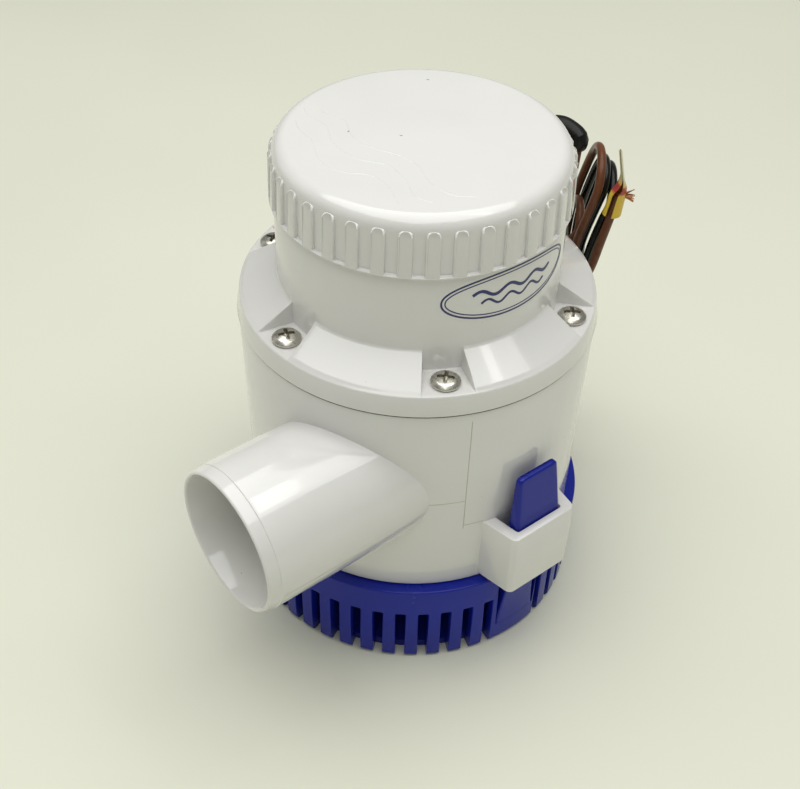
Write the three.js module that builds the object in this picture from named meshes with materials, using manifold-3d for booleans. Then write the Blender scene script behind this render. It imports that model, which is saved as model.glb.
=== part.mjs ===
// Submersible bilge pump on a snap-on strainer. Millimetres, +Z up, the outlet points to -Y and the
// release tabs stand at +X and -X. The origin is the middle of the strainer's flat underside.
import * as THREE from 'three';
import { mergeVertices } from 'three/addons/utils/BufferGeometryUtils.js';
import Module from 'manifold-3d';

const wasm = await Module();
wasm.setup();

// ---------------------------------------------------------------- driving dimensions
const gap = 0.35; // space between pieces that touch
const roundSides = 40; // facets around the large round pieces
const motorSides = 24; // facets around the motor's pieces
const smallSides = 16; // facets around the small round pieces

const strainer = {
  footR: 61.3, wallR: 62.4, topR: 63, innerR: 59.4, lipR: 54.5,
  chamfer: 1.4, floor: 3, lipZ: 33.5, topZ: 36.3,
  slotPitch: 7.5, slotPhase: 3.1, slotWidth: 3.35, slotTopZ: 24,
  holeR: 2.6, holeCircleR: 40, windowHalf: 9.1, windowTopHalf: 9.8,
};
const clip = {
  azimuths: [0, 180], rootZ: 9, rootHalf: 8.75, stemHalf: 6.5, tabHalf: 9.7, crownHalf: 8.5,
  stemZ: 28, tabZ: 52, topZ: 85.6, cornerR: 1.8,
};
const pocket = {
  bottomZ: 38.4, topZ: 65, frontX: 71.4, wall: 3, halfFront: 13.7, halfBack: 16.2, cornerR: 2.5,
  holeHalfFront: 9.9, holeHalfBack: 11.7,
};
const body = {
  bottomR: 59.2, topR: 60.9, wall: 3, bottomZ: 36.6, topZ: 117.4,
  floorZ: 40, floorTopZ: 43.5, eyeR: 21, eyeLipR: 24.5, eyeLipZ: 47.5,
  spigotR: 54.2, spigotInnerR: 51, spigotZ: 32,
  rimInnerR: 46.2, rimZ: 113.4, grooveR: 48, grooveOuterR: 50.9, grooveDepth: 2.4, bossR: 5.2, bossZ: 97,
};
const outlet = {
  x: 24.1, z: 78.9, outerR: 25.6, boreR: 23.4, endY: -96.3, taperR: 24.8, taperLength: 4.5, lip: 0.3,
};
const housing = {
  cupR: 43.9, cupInnerR: 40.9, cupZ: 84, cupFloorZ: 87.5, bossR: 15, bossZ: 93,
  sealR: 11.3, sealZ: 90.5, shaftHoleR: 5.2,
  flangeR: 61.4, flangeTopR: 60.2, flangeZ: 117.75, flangeTopZ: 125.2,
  coneTopZ: 133.1, notchInner: 5.9, notchOuter: 8.9, notchFlare: 0.3,
  neckR: 47.4, shoulderZ: 160.4, plugR: 44.6, plugInnerR: 41.6, topZ: 174,
  grooveR: 42.6, grooveZ: 166.9, grooveTopZ: 169.5,
};
const cap = {
  rimR: 48.9, rimZ: 160.8, rimTopZ: 161.3, wallR: 47.6, wallTopR: 47.4, cornerZ: 175.4, cornerR: 4.9,
  topZ: 180.5, crownZ: 180.9, innerR: 45.2, innerTopZ: 177.6,
  ribs: 37, ribWidth: 4.3, ribZ: 161, ribTopZ: 176.8, ribPhase: 3.55,
};
const screw = {
  count: 6, circleR: 53.85, first: -90, headR: 4.8, headHeight: 2.4, shankR: 2.4, tipZ: 101, holeR: 2.85,
};
const motor = {
  canR: 38.5, canWall: 1.6, canZ: 94, canTopZ: 137, bearingR: 9.5, bearingSeatR: 9.9, bearingBossR: 12.2,
  coreR: 30, coreZ: 103.5, coreTopZ: 127, teeth: 12, magnetR: 31, magnetOuterR: 36.5, magnetZ: 100.5,
  magnetTopZ: 130, commutatorR: 12.5, commutatorZ: 134.6, commutatorTopZ: 147,
  plateZ: 137.35, plateTopZ: 139.35, coverTopZ: 154.5, brushAzimuth: 18,
};
const shaft = { r: 4, bottomZ: 49, topZ: 156, boreR: 4.35 };
const impeller = {
  r: 38, blades: 6, bladeZ: 48.6, discZ: 73, discTopZ: 76,
  hubR: 8, hubZ: 53.6, hubTopZ: 80, nutZ: 49.2, eyeCutR: 11,
};
const gland = { azimuth: 108, z: 150, barrelR: 4, flangeR: 6.6, tipR: 4.3, innerEnd: 43, outerEnd: 58 };
const lead = { r: 1.6, motorR: 1.2, sleeveR: 3.7 };
const hank = {
  azimuth: 50, // the direction across the strands; the loops lie square to it
  y: 81, topX: 4.7, lean: 0.16, topZ: 151, brownTopZ: 149.4, blackTopZ: 145.2, bottomZ: 0.3,
  topR: 15.1, bottomR: 16.3, waistHalf: 8.9, half: 7.3, tieZ: 72,
};

// ---------------------------------------------------------------- solids from three.js shapes
const radians = Math.PI / 180;

// one closed surface with shared corners, no collapsed triangles and its faces outwards
function solid(geometry) {
  const bare = new THREE.BufferGeometry();
  bare.setAttribute('position', geometry.getAttribute('position'));
  bare.setIndex(geometry.index);
  const merged = mergeVertices(bare, 1e-4);
  const corners = merged.getAttribute('position');
  const [a, b, c] = [new THREE.Vector3(), new THREE.Vector3(), new THREE.Vector3()];
  const faces = [];
  let volume = 0;
  for (let i = 0; i < merged.index.count; i += 3) {
    const face = [0, 1, 2].map((k) => merged.index.getX(i + k));
    if (new Set(face).size < 3) continue;
    faces.push(face);
    [a, b, c].forEach((corner, k) => corner.fromBufferAttribute(corners, face[k]));
    volume += a.dot(b.clone().cross(c));
  }
  const outward = volume > 0 ? faces : faces.map(([p, q, r]) => [p, r, q]);
  return new wasm.Manifold(new wasm.Mesh({
    numProp: 3,
    vertProperties: Float32Array.from(corners.array),
    triVerts: Uint32Array.from(outward.flat()),
  }));
}

function geometryOf(piece) {
  const mesh = piece.getMesh();
  const geometry = new THREE.BufferGeometry();
  geometry.setAttribute('position', new THREE.BufferAttribute(mesh.vertProperties, 3));
  geometry.setIndex(new THREE.BufferAttribute(mesh.triVerts, 1));
  geometry.computeVertexNormals();
  return geometry;
}

const joined = (pieces) => pieces.reduce((whole, piece) => whole.add(piece));
const cut = (piece, tools) => tools.reduce((left, tool) => left.subtract(tool), piece);

// turned about Z from [radius, height] points; a profile off the axis is closed on itself
function turnedGeometry(profile, sides = roundSides) {
  const open = profile[0][0] === 0;
  const points = (open ? profile : [...profile, profile[0]]).map(([r, z]) => new THREE.Vector2(r, z));
  return new THREE.LatheGeometry(points, sides).rotateX(Math.PI / 2);
}
const turned = (profile, sides) => solid(turnedGeometry(profile, sides));

const rod = (r, z0, z1) => [[0, z0], [r, z0], [r, z1], [0, z1]];
const sleeve = (r0, r1, z0, z1) => [[r0, z0], [r1, z0], [r1, z1], [r0, z1]];

// a rod about Z set down at a place in plan
function post(r, z0, z1, x, y, sides = smallSides) {
  return solid(turnedGeometry(rod(r, z0, z1), sides).translate(x, y, 0));
}

// a flat outline of [x, y] points, pulled up from z0 to z1
function prismGeometry(outline, z0, z1) {
  const shape = outline instanceof THREE.Shape
    ? outline
    : new THREE.Shape(outline.map(([x, y]) => new THREE.Vector2(x, y)));
  const options = { depth: z1 - z0, bevelEnabled: false, curveSegments: 6 };
  return new THREE.ExtrudeGeometry(shape, options).translate(0, 0, z0);
}
const prism = (outline, z0, z1) => solid(prismGeometry(outline, z0, z1));

// an [x, z] outline pulled along Y, equally to both sides
function sidePrism(outline, half) {
  return solid(prismGeometry(outline, -half, half).rotateX(Math.PI / 2));
}

// a [y, z] outline pulled along X from x0 to x1
function frontPrism(outline, x0, x1) {
  return solid(prismGeometry(outline, x0, x1).rotateX(Math.PI / 2).rotateZ(Math.PI / 2));
}

function block(size, centre, azimuth = 0) {
  const box = new THREE.BoxGeometry(...size).translate(...centre);
  return solid(box.rotateZ(azimuth * radians));
}

const mirrored = (half) => [...half, ...half.map(([y, z]) => [-y, z]).reverse()];
const onCircle = (r, azimuth) => [r * Math.cos(azimuth * radians), r * Math.sin(azimuth * radians)];
const evenly = (count, first = 0) => Array.from({ length: count }, (_, i) => first + (i * 360) / count);

// a round bar of one thickness along a smooth curve through the points
function bar(points, r, steps, sides = 8) {
  const section = new THREE.Shape(evenly(sides).map((a) => new THREE.Vector2(...onCircle(r, a))));
  const path = new THREE.CatmullRomCurve3(points.map((p) => new THREE.Vector3(...p)));
  return solid(new THREE.ExtrudeGeometry(section, { steps, extrudePath: path, bevelEnabled: false }));
}

function torus(ringR, r, z) {
  return solid(new THREE.TorusGeometry(ringR, r, 5, 32).translate(0, 0, z));
}

// ---------------------------------------------------------------- materials
const finish = (color, roughness, metalness = 0) =>
  new THREE.MeshStandardMaterial({ color, roughness, metalness });
const whitePlastic = finish(0xe9e8e2, 0.32);
const bluePlastic = finish(0x17269a, 0.35);
const blackPlastic = finish(0x1b1b1c, 0.5);
const blackRubber = finish(0x141414, 0.75);
const stainless = finish(0xb9b8b2, 0.28, 1);
const steelSheet = finish(0x9a9c9e, 0.4, 1);
const laminations = finish(0x5b5d60, 0.5, 1);
const ferrite = finish(0x2c2c2e, 0.8);
const copper = finish(0xb4662f, 0.35, 1);
const brass = finish(0xc2a04a, 0.35, 1);
const carbon = finish(0x222224, 0.6);
const fibreBoard = finish(0x7a4a26, 0.7);
const brownSheath = finish(0x4a2413, 0.38);
const blackSheath = finish(0x0d0d0f, 0.35);
const yellowPaper = finish(0xe0bd2c, 0.7);

const model = new THREE.Group();
model.name = 'bilge_pump';
const strainerGroup = new THREE.Group();
const pumpGroup = new THREE.Group();
const rotorGroup = new THREE.Group();
pumpGroup.add(rotorGroup);
model.add(strainerGroup, pumpGroup);

function addPart(group, name, piece, material) {
  const mesh = new THREE.Mesh(geometryOf(piece), material);
  mesh.name = name;
  group.add(mesh);
  return mesh;
}

// ---------------------------------------------------------------- strainer and its two release tabs
function strainerBase() {
  const s = strainer;
  const bowl = turned([
    [0, 0], [s.footR, 0], [s.wallR, s.chamfer], [s.topR, s.topZ], [s.lipR, s.topZ], [s.lipR, s.lipZ],
    [s.innerR, s.lipZ], [s.innerR, s.floor], [0, s.floor],
  ]);
  const slots = evenly(360 / s.slotPitch, s.slotPhase)
    .filter((azimuth) => Math.abs(Math.sin(azimuth * radians)) > Math.sin(s.slotPitch * radians))
    .map((azimuth) =>
      block([8, s.slotWidth, s.slotTopZ + 1], [s.wallR - 1, 0, (s.slotTopZ - 1) / 2], azimuth));
  const holes = evenly(4, 45)
    .map((azimuth) => post(s.holeR, -1, s.floor + 1, ...onCircle(s.holeCircleR, azimuth)));
  const rootZ = clip.rootZ - gap;
  const window = mirrored([[s.windowHalf, rootZ], [s.windowTopHalf, s.topZ + 1]]);
  const windows = clip.azimuths.map((azimuth) =>
    solid(prismGeometry(new THREE.Shape(window.map((p) => new THREE.Vector2(...p))), s.innerR - 0.1, 66)
      .rotateX(Math.PI / 2).rotateZ(Math.PI / 2 + azimuth * radians)));
  return cut(bowl, [...slots, ...holes, ...windows]);
}

// a springy arm that grows out of the strainer wall, passes up through the pocket and ends in a thumb tab
function releaseTab() {
  const c = clip;
  const side = sidePrism([
    [59.9, c.rootZ], [62.4, c.rootZ], [63.3, c.stemZ], [65.8, 40], [68.05, 54], [68.05, pocket.topZ],
    [65.6, c.topZ - 1.2], [64.6, c.topZ], [63.5, c.topZ], [63.2, c.topZ - 0.8], [63.5, pocket.topZ],
    [63.5, 54], [62, 42], [60.4, c.stemZ],
  ], 10);
  const round = evenly(16).filter((a) => a < 91)
    .map((a) => onCircle(c.cornerR, a))
    .map(([y, z]) => [c.crownHalf - c.cornerR + y, c.topZ - c.cornerR + z]);
  const front = frontPrism(mirrored([
    [c.rootHalf, c.rootZ - 1], [c.stemHalf, c.stemZ], [c.stemHalf, c.tabZ - 6], [c.tabHalf, c.tabZ],
    [c.tabHalf, pocket.topZ + 1], ...round,
  ]), 58, 70);
  return side.intersect(front);
}

addPart(strainerGroup, 'strainer_base', strainerBase(), bluePlastic);
addPart(strainerGroup, 'release_tab_front', releaseTab(), bluePlastic);
addPart(strainerGroup, 'release_tab_rear', releaseTab(), bluePlastic).rotation.z = Math.PI;

// ---------------------------------------------------------------- volute body with outlet and pockets
const wallInside = (z) => {
  const b = body;
  return b.bottomR - b.wall + ((b.topR - b.bottomR) * (z - b.bottomZ)) / (b.topZ - b.bottomZ);
};

function pocketLoop() {
  const p = pocket;
  const outer = mirrored([
    [56.6, p.halfBack], [p.frontX - p.cornerR + 0.9, p.halfFront], [p.frontX - 0.6, p.halfFront - 0.9],
    [p.frontX, p.halfFront - p.cornerR],
  ].map(([x, y]) => [y, x])).map(([y, x]) => [x, y]);
  const inner = mirrored([[p.holeHalfBack, 50], [p.holeHalfFront, p.frontX - p.wall]])
    .map(([y, x]) => [x, y]);
  const outerShape = prism(outer, p.bottomZ, p.topZ);
  return outerShape.subtract(prism(inner, p.bottomZ - 1, p.topZ + 1));
}

function voluteBody() {
  const b = body;
  const shell = turned([
    [b.eyeR, b.floorZ], [b.spigotInnerR, b.floorZ], [b.spigotInnerR, b.spigotZ], [b.spigotR, b.spigotZ],
    [b.spigotR, b.bottomZ], [b.bottomR - 0.8, b.bottomZ], [b.bottomR, b.bottomZ + 0.8], [b.topR, b.topZ],
    [b.grooveOuterR, b.topZ], [b.grooveOuterR, b.topZ - b.grooveDepth], [b.grooveR, b.topZ - b.grooveDepth],
    [b.grooveR, b.topZ], [b.rimInnerR, b.topZ], [b.rimInnerR, b.rimZ], [wallInside(b.rimZ), b.rimZ],
    [wallInside(b.floorTopZ), b.floorTopZ], [b.eyeLipR, b.floorTopZ],
    [b.eyeLipR, b.eyeLipZ], [b.eyeR, b.eyeLipZ],
  ]);
  const bosses = evenly(screw.count, screw.first)
    .map((azimuth) => post(b.bossR, b.bossZ, b.rimZ + 1, ...onCircle(screw.circleR, azimuth), 12));
  const o = outlet;
  const pipeProfile = [
    [0, -o.endY], [o.taperR - o.lip, -o.endY], [o.taperR, -o.endY - 0.6],
    [o.outerR, -o.endY - o.taperLength], [o.outerR, 24], [0, 24],
  ];
  const pipe = solid(turnedGeometry(pipeProfile, 32).rotateX(Math.PI / 2).translate(o.x, 0, o.z));
  const inside = turned([
    [0, b.floorTopZ], [wallInside(b.floorTopZ), b.floorTopZ], [wallInside(b.rimZ), b.rimZ], [0, b.rimZ],
  ]);
  const bore = solid(turnedGeometry(rod(o.boreR, 26, 120), 32).rotateX(Math.PI / 2).translate(o.x, 0, o.z));
  const loops = [pocketLoop(), solid(geometryOf(pocketLoop()).rotateZ(Math.PI))];
  const holes = evenly(screw.count, screw.first)
    .map((azimuth) =>
      post(screw.holeR, screw.tipZ - 1.5, b.topZ + 1, ...onCircle(screw.circleR, azimuth), 12));
  return cut(joined([shell, pipe.subtract(inside), ...loops, ...bosses]), [bore, ...holes]);
}

addPart(pumpGroup, 'volute_body', voluteBody(), whitePlastic);

// ---------------------------------------------------------------- motor housing: cup, flange and neck
function screwNotch(azimuth) {
  // a flat seat cut into the sloping top of the flange, wider outwards, with sloping cheeks
  const seat = housing.flangeTopZ;
  const outlineAt = (grow) => {
    const [inner, outer] = [housing.notchInner + grow, housing.notchOuter + grow];
    return [[46, -inner], [63, -outer], [63, outer], [46, inner]];
  };
  const [low, high] = [outlineAt(0), outlineAt(housing.notchFlare)];
  const corners = [...low.map(([x, y]) => [x, y, seat]), ...high.map(([x, y]) => [x, y, seat + 9])];
  const sides = [0, 1, 2, 3].flatMap((i) => {
    const next = (i + 1) % 4;
    return [[i, next, next + 4], [i, next + 4, i + 4]];
  });
  const faces = [[0, 2, 1], [0, 3, 2], [4, 5, 6], [4, 6, 7], ...sides];
  const geometry = new THREE.BufferGeometry();
  geometry.setAttribute('position', new THREE.Float32BufferAttribute(corners.flat(), 3));
  geometry.setIndex(faces.flat());
  return solid(geometry.rotateZ(azimuth * radians));
}

function motorHousing() {
  const h = housing;
  const shell = turned([
    [h.sealR, h.cupZ], [h.cupR - 1.2, h.cupZ], [h.cupR, h.cupZ + 1.2],
    [h.cupR, h.flangeZ], [h.flangeR, h.flangeZ],
    [h.flangeTopR, h.flangeTopZ], [h.neckR + 0.6, h.coneTopZ - 0.5], [h.neckR, h.coneTopZ + 0.8],
    [h.neckR, h.shoulderZ], [h.plugR, h.shoulderZ],
    [h.plugR, h.grooveZ], [h.grooveR, h.grooveZ], [h.grooveR, h.grooveTopZ], [h.plugR, h.grooveTopZ],
    [h.plugR, h.topZ], [h.plugInnerR, h.topZ], [h.cupInnerR, h.cupFloorZ], [h.bossR, h.cupFloorZ],
    [h.bossR, h.bossZ], [h.shaftHoleR, h.bossZ], [h.shaftHoleR, h.sealZ], [h.sealR, h.sealZ],
  ]);
  const neck = turned(rod(h.neckR + 0.1, 100, 150));
  const azimuths = evenly(screw.count, screw.first);
  const notches = azimuths.map((azimuth) => screwNotch(azimuth).subtract(neck));
  const holes = azimuths
    .map((azimuth) => post(screw.holeR, 110, 130, ...onCircle(screw.circleR, azimuth), 12));
  const glandHole = solid(turnedGeometry(rod(gland.barrelR + gap, 36, 52), smallSides)
    .rotateY(Math.PI / 2).rotateZ(gland.azimuth * radians).translate(0, 0, gland.z));
  return cut(shell, [...notches, ...holes, glandHole]);
}

function coverScrew() {
  const s = screw;
  const seat = housing.flangeTopZ + gap;
  const head = [
    [0, s.tipZ], [s.shankR - 0.8, s.tipZ], [s.shankR, s.tipZ + 1], [s.shankR, seat], [s.headR - 0.3, seat],
    [s.headR, seat + 0.5], [s.headR - 0.5, seat + 1.2], [3, seat + 2], [0, seat + s.headHeight],
  ];
  const top = seat + s.headHeight;
  const cross = [0, 90].map((turn) => block([4.6, 0.9, 1.8], [0, 0, top - 0.6], turn + 35));
  return cut(turned(head, 12), cross);
}

addPart(pumpGroup, 'motor_housing', motorHousing(), whitePlastic);
addPart(pumpGroup, 'flange_o_ring', torus(49.45, 1.02, body.topZ - 1), blackRubber);
evenly(screw.count, screw.first).forEach((azimuth, i) => {
  const [x, y] = onCircle(screw.circleR, azimuth);
  addPart(pumpGroup, `cover_screw_${i + 1}`, coverScrew(), stainless).position.set(x, y, 0);
});

// ---------------------------------------------------------------- ribbed cap
function ribbedCap() {
  const c = cap;
  const corner = [0, 45, 90].map((a) => {
    const [r, z] = onCircle(c.cornerR, a);
    return [c.wallTopR - c.cornerR + r, c.cornerZ + z];
  });
  const shell = turned([
    [0, c.innerTopZ], [c.innerR - 2, c.innerTopZ], [c.innerR, c.innerTopZ - 2], [c.innerR, c.rimZ],
    [c.rimR - 0.1, c.rimZ], [c.rimR, c.rimZ + 0.1], [c.rimR - 0.1, c.rimTopZ - 0.1], [c.wallR, c.rimTopZ],
    ...corner, [c.wallTopR - c.cornerR - 8, c.topZ + 0.1], [0, c.crownZ],
  ]);
  const ribSide = [[46.5, c.ribZ], [c.rimR - 0.1, c.ribZ], [48.4, c.ribTopZ - 1.8], [46.5, c.ribTopZ]];
  const rib = prismGeometry(ribSide, -c.ribWidth / 2, c.ribWidth / 2).rotateX(Math.PI / 2);
  const ribs = evenly(c.ribs, c.ribPhase).map((azimuth) => solid(rib.clone().rotateZ(azimuth * radians)));
  return joined([shell, ...ribs]);
}

addPart(pumpGroup, 'cap', ribbedCap(), whitePlastic);
addPart(pumpGroup, 'cap_o_ring', torus(43.9, 0.92, 168.2), blackRubber);

// ---------------------------------------------------------------- motor
function motorCan() {
  const m = motor;
  const inner = m.canR - m.canWall;
  return turned([
    [housing.shaftHoleR, m.canZ], [m.canR - 1.2, m.canZ], [m.canR, m.canZ + 1.2], [m.canR, m.canTopZ],
    [inner, m.canTopZ], [inner, m.canZ + 2], [m.bearingBossR, m.canZ + 2], [m.bearingBossR, m.canZ + 8.6],
    [m.bearingSeatR, m.canZ + 8.6], [m.bearingSeatR, m.canZ + 2], [housing.shaftHoleR, m.canZ + 2],
  ], motorSides);
}

function motorCover() {
  const m = motor;
  const z = m.coverTopZ;
  const dome = turned([
    [m.canR - 1.5, m.plateTopZ + gap], [m.canR, m.plateTopZ + gap], [m.canR, z - 8.5], [32, z],
    [housing.shaftHoleR, z], [housing.shaftHoleR, z - 1.5],
    [m.bearingSeatR, z - 1.5], [m.bearingSeatR, z - 6.1],
    [m.bearingBossR, z - 6.1], [m.bearingBossR, z - 1.5], [31.2, z - 1.5], [m.canR - 1.5, z - 8.9],
  ], motorSides);
  const leadHoles = [0, 180].map((turn) =>
    post(lead.motorR + 0.5, z - 3, z + 1, ...onCircle(27, m.brushAzimuth + turn), 12));
  return cut(dome, leadHoles);
}

const bearing = (z0, z1) => turned([
  [shaft.r + 0.3, z0], [motor.bearingR - 0.3, z0], [motor.bearingR, z0 + 0.3], [motor.bearingR, z1 - 0.3],
  [motor.bearingR - 0.3, z1], [shaft.r + 0.3, z1],
], smallSides);

function fieldMagnet() {
  const m = motor;
  const half = 58;
  const arc = new THREE.Shape();
  arc.absarc(0, 0, m.magnetOuterR, -half * radians, half * radians, false);
  arc.absarc(0, 0, m.magnetR, half * radians, -half * radians, true);
  const options = { depth: m.magnetTopZ - m.magnetZ, bevelEnabled: false, curveSegments: 12 };
  return solid(new THREE.ExtrudeGeometry(arc, options).translate(0, 0, m.magnetZ));
}

// one winding slot of the armature, as a wedge whose sides stay clear of the teeth by the inset
const slotWedge = (inset) => [
  [14 + inset, -1.6 + inset], [26.5 - inset, -4.4 + inset],
  [26.5 - inset, 4.4 - inset], [14 + inset, 1.6 - inset],
];

function armatureCore() {
  const m = motor;
  const stack = turned(sleeve(shaft.boreR, m.coreR, m.coreZ, m.coreTopZ), motorSides);
  const wedge = prismGeometry(slotWedge(0), m.coreZ - 1, m.coreTopZ + 1);
  const slots = evenly(m.teeth).flatMap((azimuth) => [
    solid(wedge.clone().rotateZ(azimuth * radians)),
    block([6, 2.4, 40], [28.5, 0, (m.coreZ + m.coreTopZ) / 2], azimuth),
  ]);
  return cut(stack, slots);
}

function armatureWindings() {
  const m = motor;
  const ring = (z0, z1, inner) => turned([
    [inner, z0], [24, z0], [26.8, z0 + 1.6], [26.8, z1 - 1.6], [24, z1], [inner, z1],
  ], motorSides);
  const lower = ring(m.canZ + 3.2, m.coreZ - gap, m.bearingBossR + 0.8);
  const upper = ring(m.coreTopZ + gap, m.commutatorZ - 0.5, 9);
  const wedge = prismGeometry(slotWedge(gap), m.coreZ - 1.5, m.coreTopZ + 1.5);
  const bars = evenly(m.teeth).map((azimuth) => solid(wedge.clone().rotateZ(azimuth * radians)));
  return joined([lower, upper, ...bars]);
}

function commutator() {
  const m = motor;
  const drum = turned([
    [shaft.boreR, m.commutatorZ], [m.commutatorR + 1, m.commutatorZ],
    [m.commutatorR + 1, m.commutatorZ + 1.6], [m.commutatorR, m.commutatorZ + 1.6],
    [m.commutatorR, m.commutatorTopZ], [shaft.boreR, m.commutatorTopZ],
  ], motorSides);
  const cuts = evenly(m.teeth, 15).map((azimuth) =>
    block([2, 0.6, 20], [m.commutatorR + 0.2, 0, m.commutatorZ + 8], azimuth));
  return cut(drum, cuts);
}

const brushCentreZ = motor.plateTopZ + gap + 3.8;

// a brass channel around the brush, open towards the commutator
function brushHolder() {
  const [z0, z1] = [motor.plateTopZ + gap, motor.plateTopZ + gap + 7.6];
  const outer = block([15.7, 8.6, z1 - z0], [23.35, 0, (z0 + z1) / 2]);
  const channel = block([14.5, 5.8, 6], [15.5 + 7.2, 0, (z0 + z1) / 2]);
  return outer.subtract(channel);
}

function brushSpring() {
  const turns = 3.5;
  const points = Array.from({ length: turns * 8 + 1 }, (_, i) => {
    const [y, z] = onCircle(1.9, i * 45);
    return [22.9 + (6.4 * i) / (turns * 8), y, brushCentreZ + z];
  });
  return bar(points, 0.28, turns * 8, 4);
}

addPart(pumpGroup, 'motor_can', motorCan(), steelSheet);
addPart(pumpGroup, 'motor_cover', motorCover(), steelSheet);
addPart(pumpGroup, 'lower_bearing', bearing(motor.canZ + 2 + gap, motor.canZ + 8.2), stainless);
addPart(pumpGroup, 'upper_bearing', bearing(motor.coverTopZ - 6, motor.coverTopZ - 1.5 - gap), stainless);
addPart(pumpGroup, 'shaft_seal', turned([
  [shaft.boreR, housing.cupZ + 0.6], [10, housing.cupZ + 0.6],
  [10.9, housing.cupZ + 1.4], [10.9, housing.sealZ - gap],
  [shaft.boreR, housing.sealZ - gap], [shaft.boreR + 2, housing.cupZ + 3.6],
], motorSides), blackRubber);
addPart(pumpGroup, 'field_magnet_1', fieldMagnet(), ferrite);
addPart(pumpGroup, 'field_magnet_2', fieldMagnet(), ferrite).rotation.z = Math.PI;
const brushPlate = turned(sleeve(15, 38.3, motor.plateZ, motor.plateTopZ), motorSides);
addPart(pumpGroup, 'brush_plate', brushPlate, fibreBoard);
[1, 2].forEach((number) => {
  const turn = (motor.brushAzimuth + 180 * (number - 1)) * radians;
  addPart(pumpGroup, `brush_holder_${number}`, brushHolder(), brass).rotation.z = turn;
  const brush = block([9.4, 5, 5.2], [17.6, 0, brushCentreZ]);
  addPart(pumpGroup, `brush_${number}`, brush, carbon).rotation.z = turn;
  addPart(pumpGroup, `brush_spring_${number}`, brushSpring(), steelSheet).rotation.z = turn;
});

// ---------------------------------------------------------------- rotor: shaft, armature and impeller
function impellerWheel() {
  const w = impeller;
  const hub = turned([
    [shaft.boreR, w.hubZ], [w.hubR - 1, w.hubZ], [w.hubR, w.discZ - 3], [w.r, w.discZ], [w.r, w.discTopZ],
    [w.hubR, w.discTopZ], [w.hubR, w.hubTopZ], [shaft.boreR, w.hubTopZ],
  ], motorSides);
  // each blade is a thin strip swept back from the hub to the rim
  const blade = new THREE.Shape();
  blade.moveTo(6.5, -1.2);
  blade.quadraticCurveTo(24, -2, 33.5, -17.4);
  blade.lineTo(35.2, -14);
  blade.quadraticCurveTo(25, 1.4, 6.5, 1.4);
  const strip = prismGeometry(blade, w.bladeZ, w.discZ + 1);
  const eyeCut = turned(rod(w.eyeCutR, w.bladeZ - 1, w.hubZ + 4), smallSides);
  const blades = evenly(w.blades)
    .map((azimuth) => solid(strip.clone().rotateZ(azimuth * radians)).subtract(eyeCut));
  return joined([hub, ...blades]).subtract(turned(rod(shaft.boreR, 40, 90), smallSides));
}

function impellerNut() {
  const corners = evenly(6).map((azimuth) => onCircle(6.4, azimuth));
  const hexagon = prism(corners, impeller.nutZ, impeller.hubZ - gap);
  return hexagon.subtract(turned(rod(shaft.boreR, 40, 60), smallSides));
}

addPart(rotorGroup, 'shaft', turned([
  [0, shaft.bottomZ], [shaft.r - 0.6, shaft.bottomZ], [shaft.r, shaft.bottomZ + 0.6],
  [shaft.r, shaft.topZ - 0.6],
  [shaft.r - 0.6, shaft.topZ], [0, shaft.topZ],
], smallSides), stainless);
addPart(rotorGroup, 'impeller', impellerWheel(), blackPlastic);
addPart(rotorGroup, 'impeller_nut', impellerNut(), brass);
addPart(rotorGroup, 'armature_core', armatureCore(), laminations);
addPart(rotorGroup, 'armature_windings', armatureWindings(), copper);
addPart(rotorGroup, 'commutator', commutator(), copper);

// ---------------------------------------------------------------- leads: inside, gland, sleeve and hank
const glandProfile = [
  [0, gland.innerEnd], [gland.barrelR, gland.innerEnd], [gland.barrelR, 47.75], [gland.flangeR, 47.75],
  [gland.flangeR, 50.2], [5.2, 50.6], [gland.tipR, gland.outerEnd], [0, gland.outerEnd],
];
addPart(pumpGroup, 'cable_gland', solid(turnedGeometry(glandProfile, smallSides)
  .rotateY(Math.PI / 2).rotateZ(gland.azimuth * radians).translate(0, 0, gland.z)), blackRubber);

// from a brush holder up through the motor cover and round to the gland: [radius, degrees from gland, height]
function motorLead(side) {
  const route = [
    [26, -90, 147.7], [27, -90, 153.5], [28, -86, 158], [31, -60, 160.5], [34, -25, 158.5], [38, -6, 153],
    [42.1, -2, 150.1],
  ];
  const points = route.map(([r, turn, z]) => [...onCircle(r, gland.azimuth - side * turn), z]);
  return bar(points, lead.motorR, 20, 6);
}
addPart(pumpGroup, 'motor_lead_black', motorLead(-1), blackSheath);
addPart(pumpGroup, 'motor_lead_brown', motorLead(1), brownSheath);

// a place in the hank: across the strands, away from the pump, and up
function inHank(across, away, z) {
  const [ax, ay] = onCircle(1, hank.azimuth);
  const x = hank.topX - hank.lean * (hank.topZ - z);
  return [x + across * ax - away * ay, hank.y + across * ay + away * ax, z];
}

const leadSleeve = [
  [...onCircle(gland.outerEnd + gap, gland.azimuth), gland.z], [...onCircle(62.5, gland.azimuth), 150.3],
  [-19, 66, 152.6], [-13, 70.3, 155.6], [-6.5, 72.8, 156.8],
  inHank(-10.2, -0.4, 155), inHank(-9.8, 0, 151.2),
];
addPart(pumpGroup, 'lead_sleeve', bar(leadSleeve, lead.sleeveR, 16, 10), blackRubber);

// the two leads leave the sleeve side by side and run down to the hank
addPart(pumpGroup, 'brown_lead', bar([
  inHank(-9.8, -1.8, 150.4), inHank(-9.6, -1.8, 144), inHank(-9.4, -1.8, 137), inHank(-9.3, -1.8, 129),
], lead.r, 6), brownSheath);
addPart(pumpGroup, 'black_lead', bar([
  inHank(-9.8, 1.8, 150.4), inHank(-9.6, 1.8, 144), inHank(-9.4, 1.8, 137), inHank(-9.3, 1.8, 129),
], lead.r, 6), blackSheath);

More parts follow.
